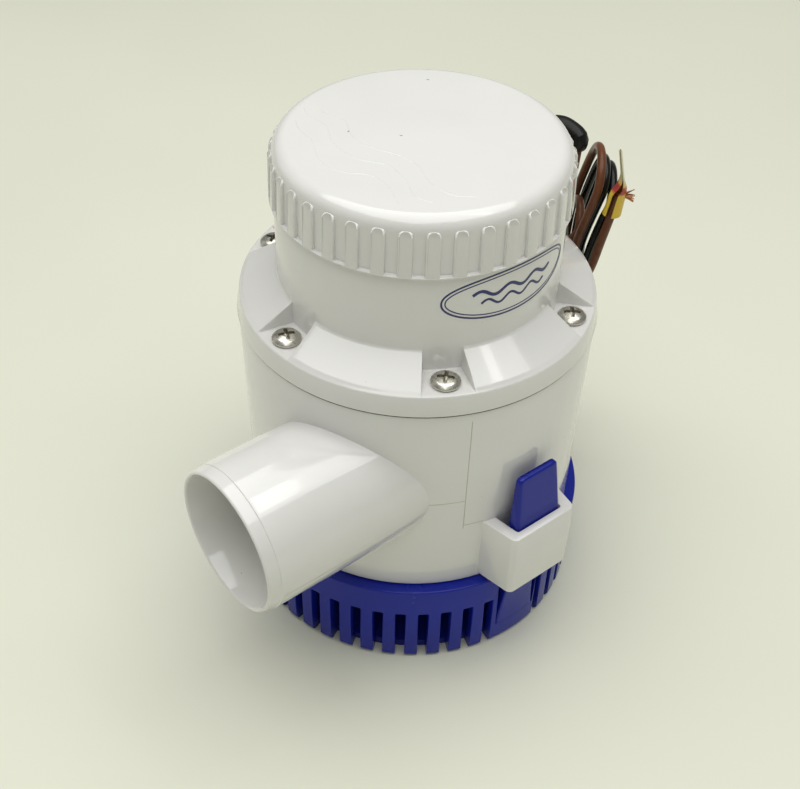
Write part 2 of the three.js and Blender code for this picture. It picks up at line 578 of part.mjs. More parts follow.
// half of the hank: its outline has round ends and a waist where the tie holds it
function hankHalf(across0, across1, topZ) {
  const { topR, bottomR, waistHalf, tieZ, bottomZ } = hank;
  const outline = new THREE.Shape();
  outline.absarc(0, bottomZ + bottomR, bottomR, Math.PI, 2 * Math.PI, false);
  outline.bezierCurveTo(bottomR, tieZ - 24, waistHalf, tieZ - 30, waistHalf, tieZ - 4);
  outline.lineTo(waistHalf, tieZ + 4);
  outline.bezierCurveTo(waistHalf, tieZ + 30, topR, tieZ + 24, topR, topZ - topR);
  outline.absarc(0, topZ - topR, topR, 0, Math.PI, false);
  outline.bezierCurveTo(-topR, tieZ + 24, -waistHalf, tieZ + 30, -waistHalf, tieZ + 4);
  outline.lineTo(-waistHalf, tieZ - 4);
  outline.bezierCurveTo(-waistHalf, tieZ - 30, -bottomR, tieZ - 24, -bottomR, bottomZ + bottomR);
  const flat = prismGeometry(outline, across0, across1);
  const place = flat.getAttribute('position');
  for (let i = 0; i < place.count; i += 1) {
    place.setXYZ(i, ...inHank(place.getZ(i), place.getX(i), place.getY(i)));
  }
  return solid(flat);
}
addPart(pumpGroup, 'brown_hank', hankHalf(-hank.half, -0.18, hank.brownTopZ), brownSheath);
addPart(pumpGroup, 'black_hank', hankHalf(0.18, hank.half, hank.blackTopZ), blackSheath);

function hankTie() {
  const loop = (across, away, z0, z1) => {
    const box = new THREE.BoxGeometry(2 * across, 2 * away, z1 - z0).translate(0, 0, (z0 + z1) / 2);
    const place = box.getAttribute('position');
    for (let i = 0; i < place.count; i += 1) {
      place.setXYZ(i, ...inHank(place.getX(i), place.getY(i), place.getZ(i)));
    }
    return solid(box);
  };
  const { half, waistHalf, tieZ } = hank;
  const outer = loop(half + 1.6, waistHalf + 1.6, tieZ - 2, tieZ + 2);
  return outer.subtract(loop(half + gap, waistHalf + gap, tieZ - 3, tieZ + 3));
}
addPart(pumpGroup, 'hank_tie', hankTie(), blackPlastic);

// the free ends: brown up the near side to its tag, black down the far side
addPart(pumpGroup, 'brown_tail', bar([
  inHank(0.8, -12.6, 80), inHank(1.8, -14.2, 88), inHank(2.9, -16.4, 98), inHank(3.5, -17.6, 107),
  inHank(4, -17.4, 118), inHank(4.7, -17, 129), inHank(5.1, -16.4, 138),
], lead.r, 16), brownSheath);
addPart(pumpGroup, 'black_tail', bar([
  inHank(3.6, 12.8, 64), inHank(3.6, 15.4, 57), inHank(3.6, 18.6, 47),
  inHank(3.8, 20.6, 37), inHank(4, 21.4, 28),
], lead.r, 10), blackSheath);
addPart(pumpGroup, 'brown_bare_end', bar([
  inHank(5.12, -16.3, 138.5), inHank(5.2, -15.6, 142), inHank(5.4, -14.6, 146),
], 1, 3), copper);
addPart(pumpGroup, 'black_bare_end', bar([
  inHank(4.02, 21.5, 27.5), inHank(4.2, 21.7, 23), inHank(4.4, 21.6, 19),
], 1, 3), copper);

// a small flag beside the brown lead, which stands up past the lead's end
function leadTag() {
  const flag = prismGeometry([[7.6, -20], [8.3, -20], [8.3, -12.6], [7.6, -12.6]], 134, 157);
  const place = flag.getAttribute('position');
  for (let i = 0; i < place.count; i += 1) {
    place.setXYZ(i, ...inHank(place.getX(i), place.getY(i), place.getZ(i)));
  }
  return solid(flag);
}
addPart(pumpGroup, 'lead_tag', leadTag(), yellowPaper);

export default model;
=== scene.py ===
import math
import bmesh
import bpy
from mathutils import Matrix, Vector


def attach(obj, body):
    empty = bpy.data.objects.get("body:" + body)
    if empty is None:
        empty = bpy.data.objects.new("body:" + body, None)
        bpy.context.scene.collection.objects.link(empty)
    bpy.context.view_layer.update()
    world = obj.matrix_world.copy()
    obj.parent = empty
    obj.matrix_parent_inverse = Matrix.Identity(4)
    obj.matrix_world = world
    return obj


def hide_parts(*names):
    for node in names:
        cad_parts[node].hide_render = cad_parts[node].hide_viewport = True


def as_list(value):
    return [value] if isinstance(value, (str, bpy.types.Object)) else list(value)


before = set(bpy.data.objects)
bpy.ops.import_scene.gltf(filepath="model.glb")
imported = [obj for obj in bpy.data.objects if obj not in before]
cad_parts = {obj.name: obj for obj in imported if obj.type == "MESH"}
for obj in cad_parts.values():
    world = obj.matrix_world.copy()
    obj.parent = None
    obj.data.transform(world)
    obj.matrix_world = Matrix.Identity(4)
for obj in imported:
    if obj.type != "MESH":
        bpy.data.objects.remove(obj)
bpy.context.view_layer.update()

mm = 0.001  # sizes below are in millimetres, meshes in metres

# camera first, then the two leads, then the pump from the floor up
camera = {"place": (266.8, -226.7, 383.0), "heading": -50.46, "tilt": 41.54, "roll": 1.62, "lens": 57.56}


def addCamera(settings):
    heading, tilt, roll = (math.radians(settings[key]) for key in ("heading", "tilt", "roll"))
    flat = math.cos(tilt)
    forward = Vector((math.sin(heading) * flat, math.cos(heading) * flat, -math.sin(tilt)))
    level = Vector((math.cos(heading), -math.sin(heading), 0))
    upright = level.cross(forward)
    right = math.cos(roll) * level + math.sin(roll) * upright
    up = math.cos(roll) * upright - math.sin(roll) * level
    data = bpy.data.cameras.new("camera")
    data.lens = settings["lens"]
    data.sensor_width = 36
    data.clip_start = 0.01
    holder = bpy.data.objects.new("camera", data)
    turn = Matrix((right, up, -forward)).transposed().to_4x4()
    holder.matrix_world = Matrix.Translation(Vector(settings["place"]) * mm) @ turn
    bpy.context.collection.objects.link(holder)
    bpy.context.scene.camera = holder


addCamera(camera)
print("camera placed")


# small tools for outlines, meshes and node trees
def onCircle(radius, azimuth):
    return radius * math.cos(math.radians(azimuth)), radius * math.sin(math.radians(azimuth))


# corners given as (x, y, radius) become arcs
def rounded(outline, steps=4):
    points = []
    for i, corner in enumerate(outline):
        here = Vector(corner[:2])
        if len(corner) == 2:
            points.append(here)
            continue
        before = (Vector(outline[i - 1][:2]) - here).normalized()
        after = (Vector(outline[(i + 1) % len(outline)][:2]) - here).normalized()
        half = before.angle(after) / 2
        reach = corner[2] / math.tan(half)
        centre = here + (before + after).normalized() * corner[2] / math.sin(half)
        first, last = here + before * reach - centre, here + after * reach - centre
        sweep = first.angle_signed(last)
        for k in range(steps + 1):
            turn = -sweep * k / steps
            points.append(centre + Vector((
                first.x * math.cos(turn) - first.y * math.sin(turn),
                first.x * math.sin(turn) + first.y * math.cos(turn))))
    return [tuple(p) for p in points]


def addMesh(name, points, faces, scale=mm):
    mesh = bpy.data.meshes.new(name)
    mesh.from_pydata([Vector(p) * scale for p in points], [], faces)
    form = bmesh.new()
    form.from_mesh(mesh)
    bmesh.ops.remove_doubles(form, verts=form.verts, dist=1e-7)
    bmesh.ops.recalc_face_normals(form, faces=form.faces)
    form.to_mesh(mesh)
    form.free()
    piece = bpy.data.objects.new(name, mesh)
    bpy.context.collection.objects.link(piece)
    return piece


# a closed [radius, height] profile turned about Z; ends on the axis become poles
def turned(name, profile, sides=192, place=None):
    points, rings = [], []
    for r, z in profile:
        if r < 1e-6:
            rings.append([len(points)] * sides)
            points.append((0, 0, z))
            continue
        rings.append(list(range(len(points), len(points) + sides)))
        points += [(*onCircle(r, 360 * k / sides), z) for k in range(sides)]
    faces = []
    for a, b in zip(rings, rings[1:] + rings[:1]):
        for k in range(sides):
            n = (k + 1) % sides
            corners = list(dict.fromkeys((a[k], a[n], b[n], b[k])))
            if len(corners) > 2:
                faces.append(corners)
    if place:
        points = [place(*p) for p in points]
    return addMesh(name, points, faces)


# moves a counter-clockwise outline's sides inwards, corners mitred
def offsetOutline(outline, inwards):
    moved = []
    for i, here in enumerate(outline):
        here = Vector(here)
        before = (here - Vector(outline[i - 1])).normalized()
        after = (Vector(outline[(i + 1) % len(outline)]) - here).normalized()
        normal = Vector((-before.y - after.y, before.x + after.x)).normalized()
        stretch = max(normal.dot(Vector((-before.y, before.x))), 0.5)
        moved.append(tuple(here + normal * inwards / stretch))
    return moved


# an outline stacked at the given (height, inset) layers
def prism(name, outline, layers, place=lambda x, y, z: (x, y, z)):
    count = len(outline)
    points = [place(x, y, z) for z, inset in layers for x, y in offsetOutline(outline, inset)]
    faces = [list(range(count))[::-1], list(range(len(points) - count, len(points)))]
    for row in range(len(layers) - 1):
        for k in range(count):
            a, b = row * count + k, row * count + (k + 1) % count
            faces.append([a, b, b + count, a + count])
    return addMesh(name, points, faces)


# prism layers with softened ends
def edged(low, high, edge=0.4):
    return [(low, edge), (low + 0.3 * edge, 0.3 * edge), (low + edge, 0),
            (high - edge, 0), (high - 0.3 * edge, 0.3 * edge), (high, edge)]


# the piece as a plain mesh, its modifiers applied and gone
def settled(piece):
    graph = bpy.context.evaluated_depsgraph_get()
    mesh = bpy.data.meshes.new_from_object(piece.evaluated_get(graph))
    mesh.name = piece.name
    if piece.type == "MESH":
        piece.modifiers.clear()
        piece.data = mesh
        return piece
    name = piece.name
    piece.name = name + "Line"
    made = bpy.data.objects.new(name, mesh)
    bpy.context.collection.objects.link(made)
    bpy.data.objects.remove(piece)
    return made


def carve(piece, tool, operation="DIFFERENCE"):
    step = piece.modifiers.new("carve", "BOOLEAN")
    step.operation = operation
    step.solver = "EXACT"
    step.object = tool
    settled(piece)
    bpy.data.objects.remove(tool)
    return piece


def smooth(piece, degrees=32):
    piece.data.polygons.foreach_set("use_smooth", [True] * len(piece.data.polygons))
    piece.data.set_sharp_from_angle(angle=math.radians(degrees))
    return piece


def dress(piece, material, body, *nodes, slot=None):
    piece.data.materials.clear()
    piece.data.materials.append(material)
    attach(piece, body)
    if nodes:
        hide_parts(*nodes)
    return piece


def socketOf(tree, name):
    return next(item.identifier for item in tree.interface.items_tree
                if item.name == name and item.in_out == "INPUT")


def useTree(piece, tree, **values):
    step = piece.modifiers.new(tree.name, "NODES")
    step.node_group = tree
    for name, value in values.items():
        step[socketOf(tree, name)] = value
    return settled(piece)


def newTree(name, sockets):
    tree = bpy.data.node_groups.new(name, "GeometryNodeTree")
    tree.interface.new_socket("Geometry", in_out="INPUT", socket_type="NodeSocketGeometry")
    for title, kind in sockets:
        tree.interface.new_socket(title, in_out="INPUT", socket_type="NodeSocket" + kind)
    tree.interface.new_socket("Geometry", in_out="OUTPUT", socket_type="NodeSocketGeometry")
    return tree, tree.nodes.new("NodeGroupInput"), tree.nodes.new("NodeGroupOutput")


def mathNode(tree, operation, *inputs):
    node = tree.nodes.new("ShaderNodeMath")
    node.operation = operation
    for i, value in enumerate(inputs):
        if isinstance(value, (int, float)):
            node.inputs[i].default_value = value
        else:
            tree.links.new(value, node.inputs[i])
    return node.outputs[0]


# ends a tree: the geometry in the given material
def painted(tree, geometry, given, result):
    paint = tree.nodes.new("GeometryNodeSetMaterial")
    tree.links.new(geometry, paint.inputs["Geometry"])
    tree.links.new(given.outputs["Material"], paint.inputs["Material"])
    tree.links.new(paint.outputs[0], result.inputs[0])
    return tree


# copies of one piece round the Z axis, alone or joined to or cut from the piece it is used on
def roundTree(name, operation=None):
    tree, given, result = newTree(name, (
        ("Copied", "Object"), ("Copies", "Int"), ("First", "Float"), ("Clear", "Float"),
        ("Radius", "Float"), ("Spin", "Float"), ("Seed", "Int"), ("Material", "Material")))
    link, nodes = tree.links.new, tree.nodes
    source = nodes.new("GeometryNodeObjectInfo")
    link(given.outputs["Copied"], source.inputs["Object"])
    spots = nodes.new("GeometryNodePoints")
    link(given.outputs["Copies"], spots.inputs["Count"])
    index = nodes.new("GeometryNodeInputIndex").outputs[0]
    pitch = mathNode(tree, "DIVIDE", 2 * math.pi, given.outputs["Copies"])
    angle = mathNode(tree, "MULTIPLY_ADD", index, pitch, given.outputs["First"])
    place = nodes.new("ShaderNodeCombineXYZ")
    for axis, share in (("X", "COSINE"), ("Y", "SINE")):
        reach = mathNode(tree, "MULTIPLY", mathNode(tree, share, angle), given.outputs["Radius"])
        link(reach, place.inputs[axis])
    link(place.outputs[0], spots.inputs["Position"])
    chance = nodes.new("FunctionNodeRandomValue")
    chance.data_type = "FLOAT"
    link(given.outputs["Seed"], chance.inputs["Seed"])
    spin = mathNode(tree, "MULTIPLY_ADD", chance.outputs[1], given.outputs["Spin"], angle)
    turn = nodes.new("ShaderNodeCombineXYZ")
    link(spin, turn.inputs["Z"])
    keep = mathNode(tree, "GREATER_THAN", mathNode(tree, "ABSOLUTE", mathNode(tree, "SINE", angle)),
                    given.outputs["Clear"])
    copies = nodes.new("GeometryNodeInstanceOnPoints")
    link(spots.outputs[0], copies.inputs["Points"])
    link(source.outputs["Geometry"], copies.inputs["Instance"])
    link(turn.outputs[0], copies.inputs["Rotation"])
    link(keep, copies.inputs["Selection"])
    real = nodes.new("GeometryNodeRealizeInstances")
    link(copies.outputs[0], real.inputs[0])
    geometry = real.outputs[0]
    if operation:
        merge = nodes.new("GeometryNodeMeshBoolean")
        merge.operation = operation
        merge.solver = "EXACT"
        link(given.outputs["Geometry"], merge.inputs["Mesh 2" if operation == "UNION" else "Mesh 1"])
        link(geometry, merge.inputs["Mesh 2"])
        geometry = merge.outputs[0]
    return painted(tree, geometry, given, result)


# a thin raised bead along every line of a curve
def beadTree():
    tree, given, result = newTree("beadAlongLine", (
        ("Radius", "Float"), ("Sides", "Int"), ("Material", "Material")))
    link, nodes = tree.links.new, tree.nodes
    ring = nodes.new("GeometryNodeCurvePrimitiveCircle")
    link(given.outputs["Sides"], ring.inputs["Resolution"])
    link(given.outputs["Radius"], ring.inputs["Radius"])
    body = nodes.new("GeometryNodeCurveToMesh")
    body.inputs["Fill Caps"].default_value = True
    link(given.outputs["Geometry"], body.inputs["Curve"])
    link(ring.outputs["Curve"], body.inputs["Profile Curve"])
    real = nodes.new("GeometryNodeRealizeInstances")
    link(body.outputs[0], real.inputs[0])
    return painted(tree, real.outputs[0], given, result)


copiesRound = roundTree("copiesRound")
joinedRound = roundTree("joinedRound", "UNION")
cutRound = roundTree("cutRound", "DIFFERENCE")
beads = beadTree()


def addLines(name, lines, scale=mm):
    data = bpy.data.curves.new(name, "CURVE")
    data.dimensions = "3D"
    for points, closed in lines:
        spline = data.splines.new("POLY")
        spline.points.add(len(points) - 1)
        for spot, p in zip(spline.points, points):
            spot.co = (*(Vector(p) * scale), 1)
        spline.use_cyclic_u = closed
    piece = bpy.data.objects.new(name, data)
    bpy.context.collection.objects.link(piece)
    return piece


# runs a round tree on a base mesh, or on an empty one, and returns the plain mesh
def repeat(name, tree, copied, material, base=None, copies=6, first=0.0, clear=-1.0, radius=0.0, spin=0.0,
           seed=3):
    piece = base or addMesh(name, [], [])
    useTree(piece, tree, Copied=copied, Copies=copies, First=math.radians(first), Clear=clear,
            Radius=radius * mm, Spin=math.radians(spin), Seed=seed, Material=material)
    bpy.data.objects.remove(copied)
    return piece


# finishes
def addMaterial(name, colour, roughness, metallic=0.0, **sockets):
    material = bpy.data.materials.new(name)
    material.use_nodes = True
    shader = material.node_tree.nodes["Principled BSDF"]
    shader.inputs["Base Color"].default_value = (*colour, 1)
    shader.inputs["Roughness"].default_value = roughness
    shader.inputs["Metallic"].default_value = metallic
    for title, value in sockets.items():
        shader.inputs[title.replace("_", " ")].default_value = value
    return material, material.node_tree, shader


# noise on Object coordinates; scale is in cells per metre
def noise(tree, scale, detail=3.0, stretch=(1, 1, 1), distortion=0.0):
    where = tree.nodes.new("ShaderNodeTexCoord")
    fit = tree.nodes.new("ShaderNodeMapping")
    fit.inputs["Scale"].default_value = stretch
    tree.links.new(where.outputs["Object"], fit.inputs["Vector"])
    node = tree.nodes.new("ShaderNodeTexNoise")
    node.inputs["Scale"].default_value = scale
    node.inputs["Detail"].default_value = detail
    node.inputs["Distortion"].default_value = distortion
    tree.links.new(fit.outputs[0], node.inputs["Vector"])
    return node.outputs["Fac"]


def ramp(tree, source, stops):
    node = tree.nodes.new("ShaderNodeValToRGB")
    band = node.color_ramp
    while len(band.elements) < len(stops):
        band.elements.new(0.5)
    for element, (position, colour) in zip(band.elements, stops):
        element.position = position
        element.color = (*colour, 1) if len(colour) == 3 else (colour[0],) * 3 + (1,)
    tree.links.new(source, node.inputs["Fac"])
    return node.outputs["Color"]


def mixed(tree, factor, first, second, mode="MIX"):
    node = tree.nodes.new("ShaderNodeMix")
    node.data_type = "RGBA"
    node.blend_type = mode
    for socket, value in ((node.inputs[0], factor), (node.inputs[6], first), (node.inputs[7], second)):
        if isinstance(value, (int, float)):
            socket.default_value = value
        elif isinstance(value, tuple):
            socket.default_value = (*value, 1)
        else:
            tree.links.new(value, socket)
    return node.outputs[2]


# stacks (height source, strength, depth in mm) into the shader's normal
def bumped(tree, shader, *layers):
    last = None
    for source, strength, depth in layers:
        node = tree.nodes.new("ShaderNodeBump")
        node.inputs["Strength"].default_value = strength
        node.inputs["Distance"].default_value = depth * mm
        tree.links.new(source, node.inputs["Height"])
        if last:
            tree.links.new(last, node.inputs["Normal"])
        last = node.outputs[0]
    tree.links.new(last, shader.inputs["Normal"])


def rangeOf(tree, source, low, high):
    node = tree.nodes.new("ShaderNodeMapRange")
    node.inputs["To Min"].default_value = low
    node.inputs["To Max"].default_value = high
    tree.links.new(source, node.inputs["Value"])
    return node.outputs[0]


# moulded plastic: cloudy tone, a few specks, uneven gloss and a fine skin
def mouldedPlastic(name, light, dark, speck, roughness, grain=0.05, **sockets):
    material, tree, shader = addMaterial(name, light, roughness, **sockets)
    cloud = ramp(tree, noise(tree, 22, 4, distortion=0.6), ((0.3, dark), (0.72, light)))
    specks = ramp(tree, noise(tree, 430, 1), ((0.83, (0.0,)), (0.84, (1.0,))))
    tree.links.new(mixed(tree, specks, cloud, speck), shader.inputs["Base Color"])
    gloss = rangeOf(tree, noise(tree, 75, 5), roughness - 0.04, roughness + 0.05)
    tree.links.new(gloss, shader.inputs["Roughness"])
    bumped(tree, shader, (noise(tree, 55, 2), grain, 0.5), (noise(tree, 1500, 3), grain * 1.6, 0.04))
    return material


# metal with drawn or turned grain and tarnish
def metal(name, light, dark, roughness, scale=400, stretch=(1, 1, 1)):
    material, tree, shader = addMaterial(name, light, roughness, 1.0)
    tone = ramp(tree, noise(tree, scale / 4, 5, stretch), ((0.3, dark), (0.7, light)))
    tree.links.new(tone, shader.inputs["Base Color"])
    grain = noise(tree, scale, 6, stretch)
    tree.links.new(rangeOf(tree, grain, roughness - 0.1, roughness + 0.12), shader.inputs["Roughness"])
    bumped(tree, shader, (grain, 0.12, 0.05))
    return material


# rubber, ferrite, carbon and board: mottled and matt
def dull(name, light, dark, roughness, scale=300, depth=0.15, shine=0.5):
    material, tree, shader = addMaterial(name, light, roughness, Specular_IOR_Level=shine)
    tone = ramp(tree, noise(tree, scale, 5), ((0.35, dark), (0.68, light)))
    tree.links.new(tone, shader.inputs["Base Color"])
    tree.links.new(rangeOf(tree, noise(tree, scale / 3, 3), roughness - 0.1, roughness + 0.08),
                   shader.inputs["Roughness"])
    bumped(tree, shader, (noise(tree, scale * 4, 4), 0.25, depth))
    return material


# soft wire sheath: satin, with handling marks and a slight waviness
def sheathing(name, light, dark, roughness):
    material, tree, shader = addMaterial(name, light, roughness, Specular_IOR_Level=0.22, Coat_Weight=0.12,
                                         Coat_Roughness=0.08)
    tone = ramp(tree, noise(tree, 140, 5, distortion=1.0), ((0.32, dark), (0.7, light)))
    tree.links.new(tone, shader.inputs["Base Color"])
    gloss = rangeOf(tree, noise(tree, 260, 4), roughness - 0.08, roughness + 0.14)
    tree.links.new(gloss, shader.inputs["Roughness"])
    bumped(tree, shader, (noise(tree, 190, 2), 0.18, 0.3), (noise(tree, 2500, 2), 0.08, 0.04))
    return material


whitePlastic = mouldedPlastic("whitePlastic", (0.79, 0.785, 0.77), (0.755, 0.75, 0.73), (0.36, 0.32, 0.26),
                              0.13, 0.03, Coat_Weight=0.5, Coat_Roughness=0.03)
bluePlastic = mouldedPlastic("bluePlastic", (0.007, 0.018, 0.33), (0.006, 0.014, 0.27), (0.02, 0.04, 0.35),
                             0.25, 0.012, Specular_IOR_Level=0.3)
blackPlastic = mouldedPlastic("blackPlastic", (0.018, 0.018, 0.019), (0.012, 0.012, 0.013),
                              (0.05, 0.05, 0.05), 0.42)
# painted shade: the parting beads are coloured darker than the white body to show the shade along the mould's
# parting lines
partingPlastic = mouldedPlastic("partingPlastic", (0.60, 0.57, 0.49), (0.50, 0.46, 0.38),
                                (0.3, 0.24, 0.16), 0.4)
# painted shade: a dark brown colour for the ring that stands in for the shaded gap between body and flange
sealant = dull("sealant", (0.075, 0.055, 0.032), (0.04, 0.028, 0.016), 0.5, 400, 0.05)
blackRubber = dull("blackRubber", (0.006, 0.006, 0.006), (0.003, 0.003, 0.003), 0.36, 220, 0.1, 0.25)
stainless = metal("stainless", (0.66, 0.64, 0.58), (0.52, 0.50, 0.44), 0.27, 900)
steelSheet = metal("steelSheet", (0.50, 0.51, 0.52), (0.36, 0.37, 0.38), 0.38, 500, (1, 1, 12))
laminations = metal("laminations", (0.26, 0.26, 0.27), (0.15, 0.15, 0.15), 0.5, 300, (1, 1, 30))
copper = metal("copper", (0.72, 0.36, 0.18), (0.46, 0.20, 0.09), 0.34, 800)
brass = metal("brass", (0.70, 0.52, 0.22), (0.50, 0.35, 0.12), 0.36, 600)
ferrite = dull("ferrite", (0.07, 0.07, 0.075), (0.04, 0.04, 0.045), 0.72)
carbon = dull("carbon", (0.03, 0.03, 0.032), (0.015, 0.015, 0.016), 0.55, 900, 0.05)
fibreBoard = dull("fibreBoard", (0.27, 0.14, 0.06), (0.19, 0.09, 0.035), 0.62, 150)
brownSheath = sheathing("brownSheath", (0.150, 0.052, 0.020), (0.100, 0.032, 0.012), 0.3)
blackSheath = sheathing("blackSheath", (0.005, 0.005, 0.005), (0.003, 0.003, 0.003), 0.22)
navyInk = dull("navyInk", (0.020, 0.028, 0.16), (0.014, 0.020, 0.12), 0.35, 500, 0.01)
print("finishes ready")

# the two leads: out of the gland, through the sleeve and round the hank
hank = {
    "across": 50, "foot": (4.7, 81.0), "lean": 0.16, "topZ": 151, "tieZ": 72, "pinch": 8, "pinchReach": 24,
    "bottomZ": 16.75, "firstBend": 9.0, "bendStep": 2.55, "bow": 2.2, "bowZ": 112, "bowReach": 19,
}
gland = {"azimuth": 108, "z": 150, "outer": 58.35}
leads = {
    "brown": {"radius": 1.6, "side": -1, "across": -4.84, "acrossStep": 2.15, "halfTurns": 5,
              "tops": (113, 134.3)},
    "black": {"radius": 1.6, "side": 1, "across": -0.75, "acrossStep": 3.2, "halfTurns": 4,
              "tops": (132.4, 126.4)},
}


# a place in the hank: across its strands, away from the pump, and up
def inHank(across, away, z):
    ax, ay = onCircle(1, hank["across"])
    x = hank["foot"][0] - hank["lean"] * (hank["topZ"] - z)
    return Vector((x + across * ax - away * ay, hank["foot"][1] + across * ay + away * ax, z))


# an even walk along a smooth curve through the points
def smoothPath(points, step=1.5):
    spots = [Vector(p) for p in points]
    spots = [2 * spots[0] - spots[1]] + spots + [2 * spots[-1] - spots[-2]]
    dense = []
    for a, b, c, d in zip(spots, spots[1:], spots[2:], spots[3:]):
        knots = [0.0]
        for p, q in ((a, b), (b, c), (c, d)):
            knots.append(knots[-1] + math.sqrt((q - p).length))
        t0, t1, t2, t3 = knots
        for k in range(24):
            t = t1 + (t2 - t1) * k / 24
            first = a.lerp(b, (t - t0) / (t1 - t0))
            second = b.lerp(c, (t - t1) / (t2 - t1))
            third = c.lerp(d, (t - t2) / (t3 - t2))
            left = first.lerp(second, (t - t0) / (t2 - t0))
            right = second.lerp(third, (t - t1) / (t3 - t1))
            dense.append(left.lerp(right, (t - t1) / (t2 - t1)))
    dense.append(spots[-2])
    total = sum((q - p).length for p, q in zip(dense, dense[1:]))
    count = max(2, round(total / step))
    walk, walked, target = [dense[0]], 0.0, total / count
    for p, q in zip(dense, dense[1:]):
        length = (q - p).length
        while length > 0 and walked + length >= target * len(walk) and len(walk) < count:
            walk.append(p.lerp(q, (target * len(walk) - walked) / length))
        walked += length
    return walk + [dense[-1]]


def pathLength(points):
    return sum((Vector(q) - Vector(p)).length for p, q in zip(points, points[1:]))


# runs and folds, far side down and near side up, each turn a little wider and further across
def hankTurns(lead):
    points = []
    for run in range(lead["halfTurns"] + 1):
        side = 1 if run % 2 == 0 else -1
        top = lead["tops"][min(run // 2, 1) if run % 2 else max(run // 2 - 1, 0)]
        zs = [top - (top - hank["bottomZ"]) * k / 7 for k in range(8)]
        if run % 2:
            zs.reverse()
        for k, z in enumerate(zs):
            turns = run / 2 - 0.15 + 0.3 * k / 7
            pastTie = (z - hank["tieZ"]) * side < 0
            if (run == 0 and z > hank["tieZ"]) or (run == lead["halfTurns"] and pastTie):
                continue
            pinch = hank["pinch"] * math.exp(-((z - hank["tieZ"]) / hank["pinchReach"]) ** 2)
            bow = hank["bow"] * math.exp(-((z - hank["bowZ"]) / hank["bowReach"]) ** 2)
            bend = hank["firstBend"] + hank["bendStep"] * turns
            points.append(inHank(lead["across"] + lead["acrossStep"] * turns - bow, side * (bend - pinch), z))
        if run == lead["halfTurns"]:
            break
        for k in range(1, 7):
            turns = run / 2 + 0.15 + 0.2 * k / 7
            bend = hank["firstBend"] + hank["bendStep"] * turns
            rise = bend * math.sin(math.pi * k / 7) * (1 if run % 2 else -1)
            points.append(inHank(lead["across"] + lead["acrossStep"] * turns,
                                 side * bend * math.cos(math.pi * k / 7), zs[-1] + rise))
    return points


sleeve = {"radius": 3.55, "bore": 3.3, "ripple": 0.07, "leadGap": 1.65}
sleeveLine = [
    Vector((*onCircle(gland["outer"], gland["azimuth"]), 150)),
    Vector((*onCircle(62.5, gland["azimuth"]), 150.3)),
    Vector((-19, 66, 152.6)), Vector((-13, 70.0, 154.6)), Vector((-7.5, 72.3, 155.2)),
    inHank(-10.6, -0.4, 153.6), inHank(-10.2, 0, 150.6),
]
awayFromPump = inHank(0, 1, 0) - inHank(0, 0, 0)
upright = Vector((0, 0, 1))
splits = [upright] * 3 + [(upright + awayFromPump).normalized()] + [awayFromPump] * 3


def leadPath(lead, into, out):
    inside = [p + lead["side"] * sleeve["leadGap"] * across for p, across in zip(sleeveLine, splits)]
    return smoothPath(inside + [inHank(*p) for p in into] + hankTurns(lead) + [inHank(*p) for p in out])


leadPaths = {
    "brown": leadPath(
        leads["brown"],
        [(-9.5, -1.7, 141), (-9.2, -1.7, 129), (-8.2, -1.6, 115), (-6.6, -1.2, 100), (-5.5, 0.1, 86)],
        [(0.8, -9.8, 81), (1.6, -13.2, 89), (2.7, -16.0, 98), (3.5, -17.6, 108), (4.0, -17.6, 119),
         (4.7, -17.1, 130), (5.2, -16.2, 140)]),
    "black": leadPath(
        leads["black"],
        [(-9.5, 1.7, 141), (-9.2, 1.7, 129), (-7.6, 1.8, 117), (-4.8, 2.0, 105), (-2.4, 1.9, 92),
         (-1.2, 1.4, 81)],
        [(5.2, 8.6, 65), (4.4, 12.0, 59), (3.8, 15.6, 53), (3.6, 18.6, 46), (3.8, 20.6, 37),
         (4.0, 21.4, 28)]),
}


def addLead(name, path, radius, material):
    piece = addLines(name, [(path, False)])
    piece.data.bevel_depth = radius * mm
    piece.data.bevel_resolution = 4
    piece.data.use_fill_caps = True
    piece.data.splines[0].use_smooth = True
    piece.data.materials.append(material)
    return piece


# a tube along a path; a bore in millimetres leaves it open
def tube(name, path, radii, bore=None, sides=28):
    tangent = (path[1] - path[0]).normalized()
    side = tangent.orthogonal().normalized()
    rings = [[], []]
    for i, p in enumerate(path):
        ahead = (path[min(i + 1, len(path) - 1)] - path[max(i - 1, 0)]).normalized()
        side = (side - ahead * side.dot(ahead)).normalized()
        other = ahead.cross(side)
        for layer, r in zip(rings, (radii[i], bore)):
            if r:
                turns = [2 * math.pi * k / sides for k in range(sides)]
                layer.append([p + r * (math.cos(a) * side + math.sin(a) * other) for a in turns])
    loop = rings[0] + rings[1][::-1]
    points = [p for ring in loop for p in ring]
    faces = []
    last = len(loop) if bore else len(loop) - 1
    for i in range(last):
        for k in range(sides):
            a, b = i * sides, (i + 1) % len(loop) * sides
            n = (k + 1) % sides
            faces.append([a + k, a + n, b + n, b + k])
    if not bore:
        faces += [list(range(sides)), list(range(len(points) - sides, len(points)))]
    return addMesh(name, points, faces)


# fine bare strands fanned out at a lead's end
strand = {"count": 16, "length": 1.0, "thickness": 0.00016, "start": 0.8, "lean": 0.55}


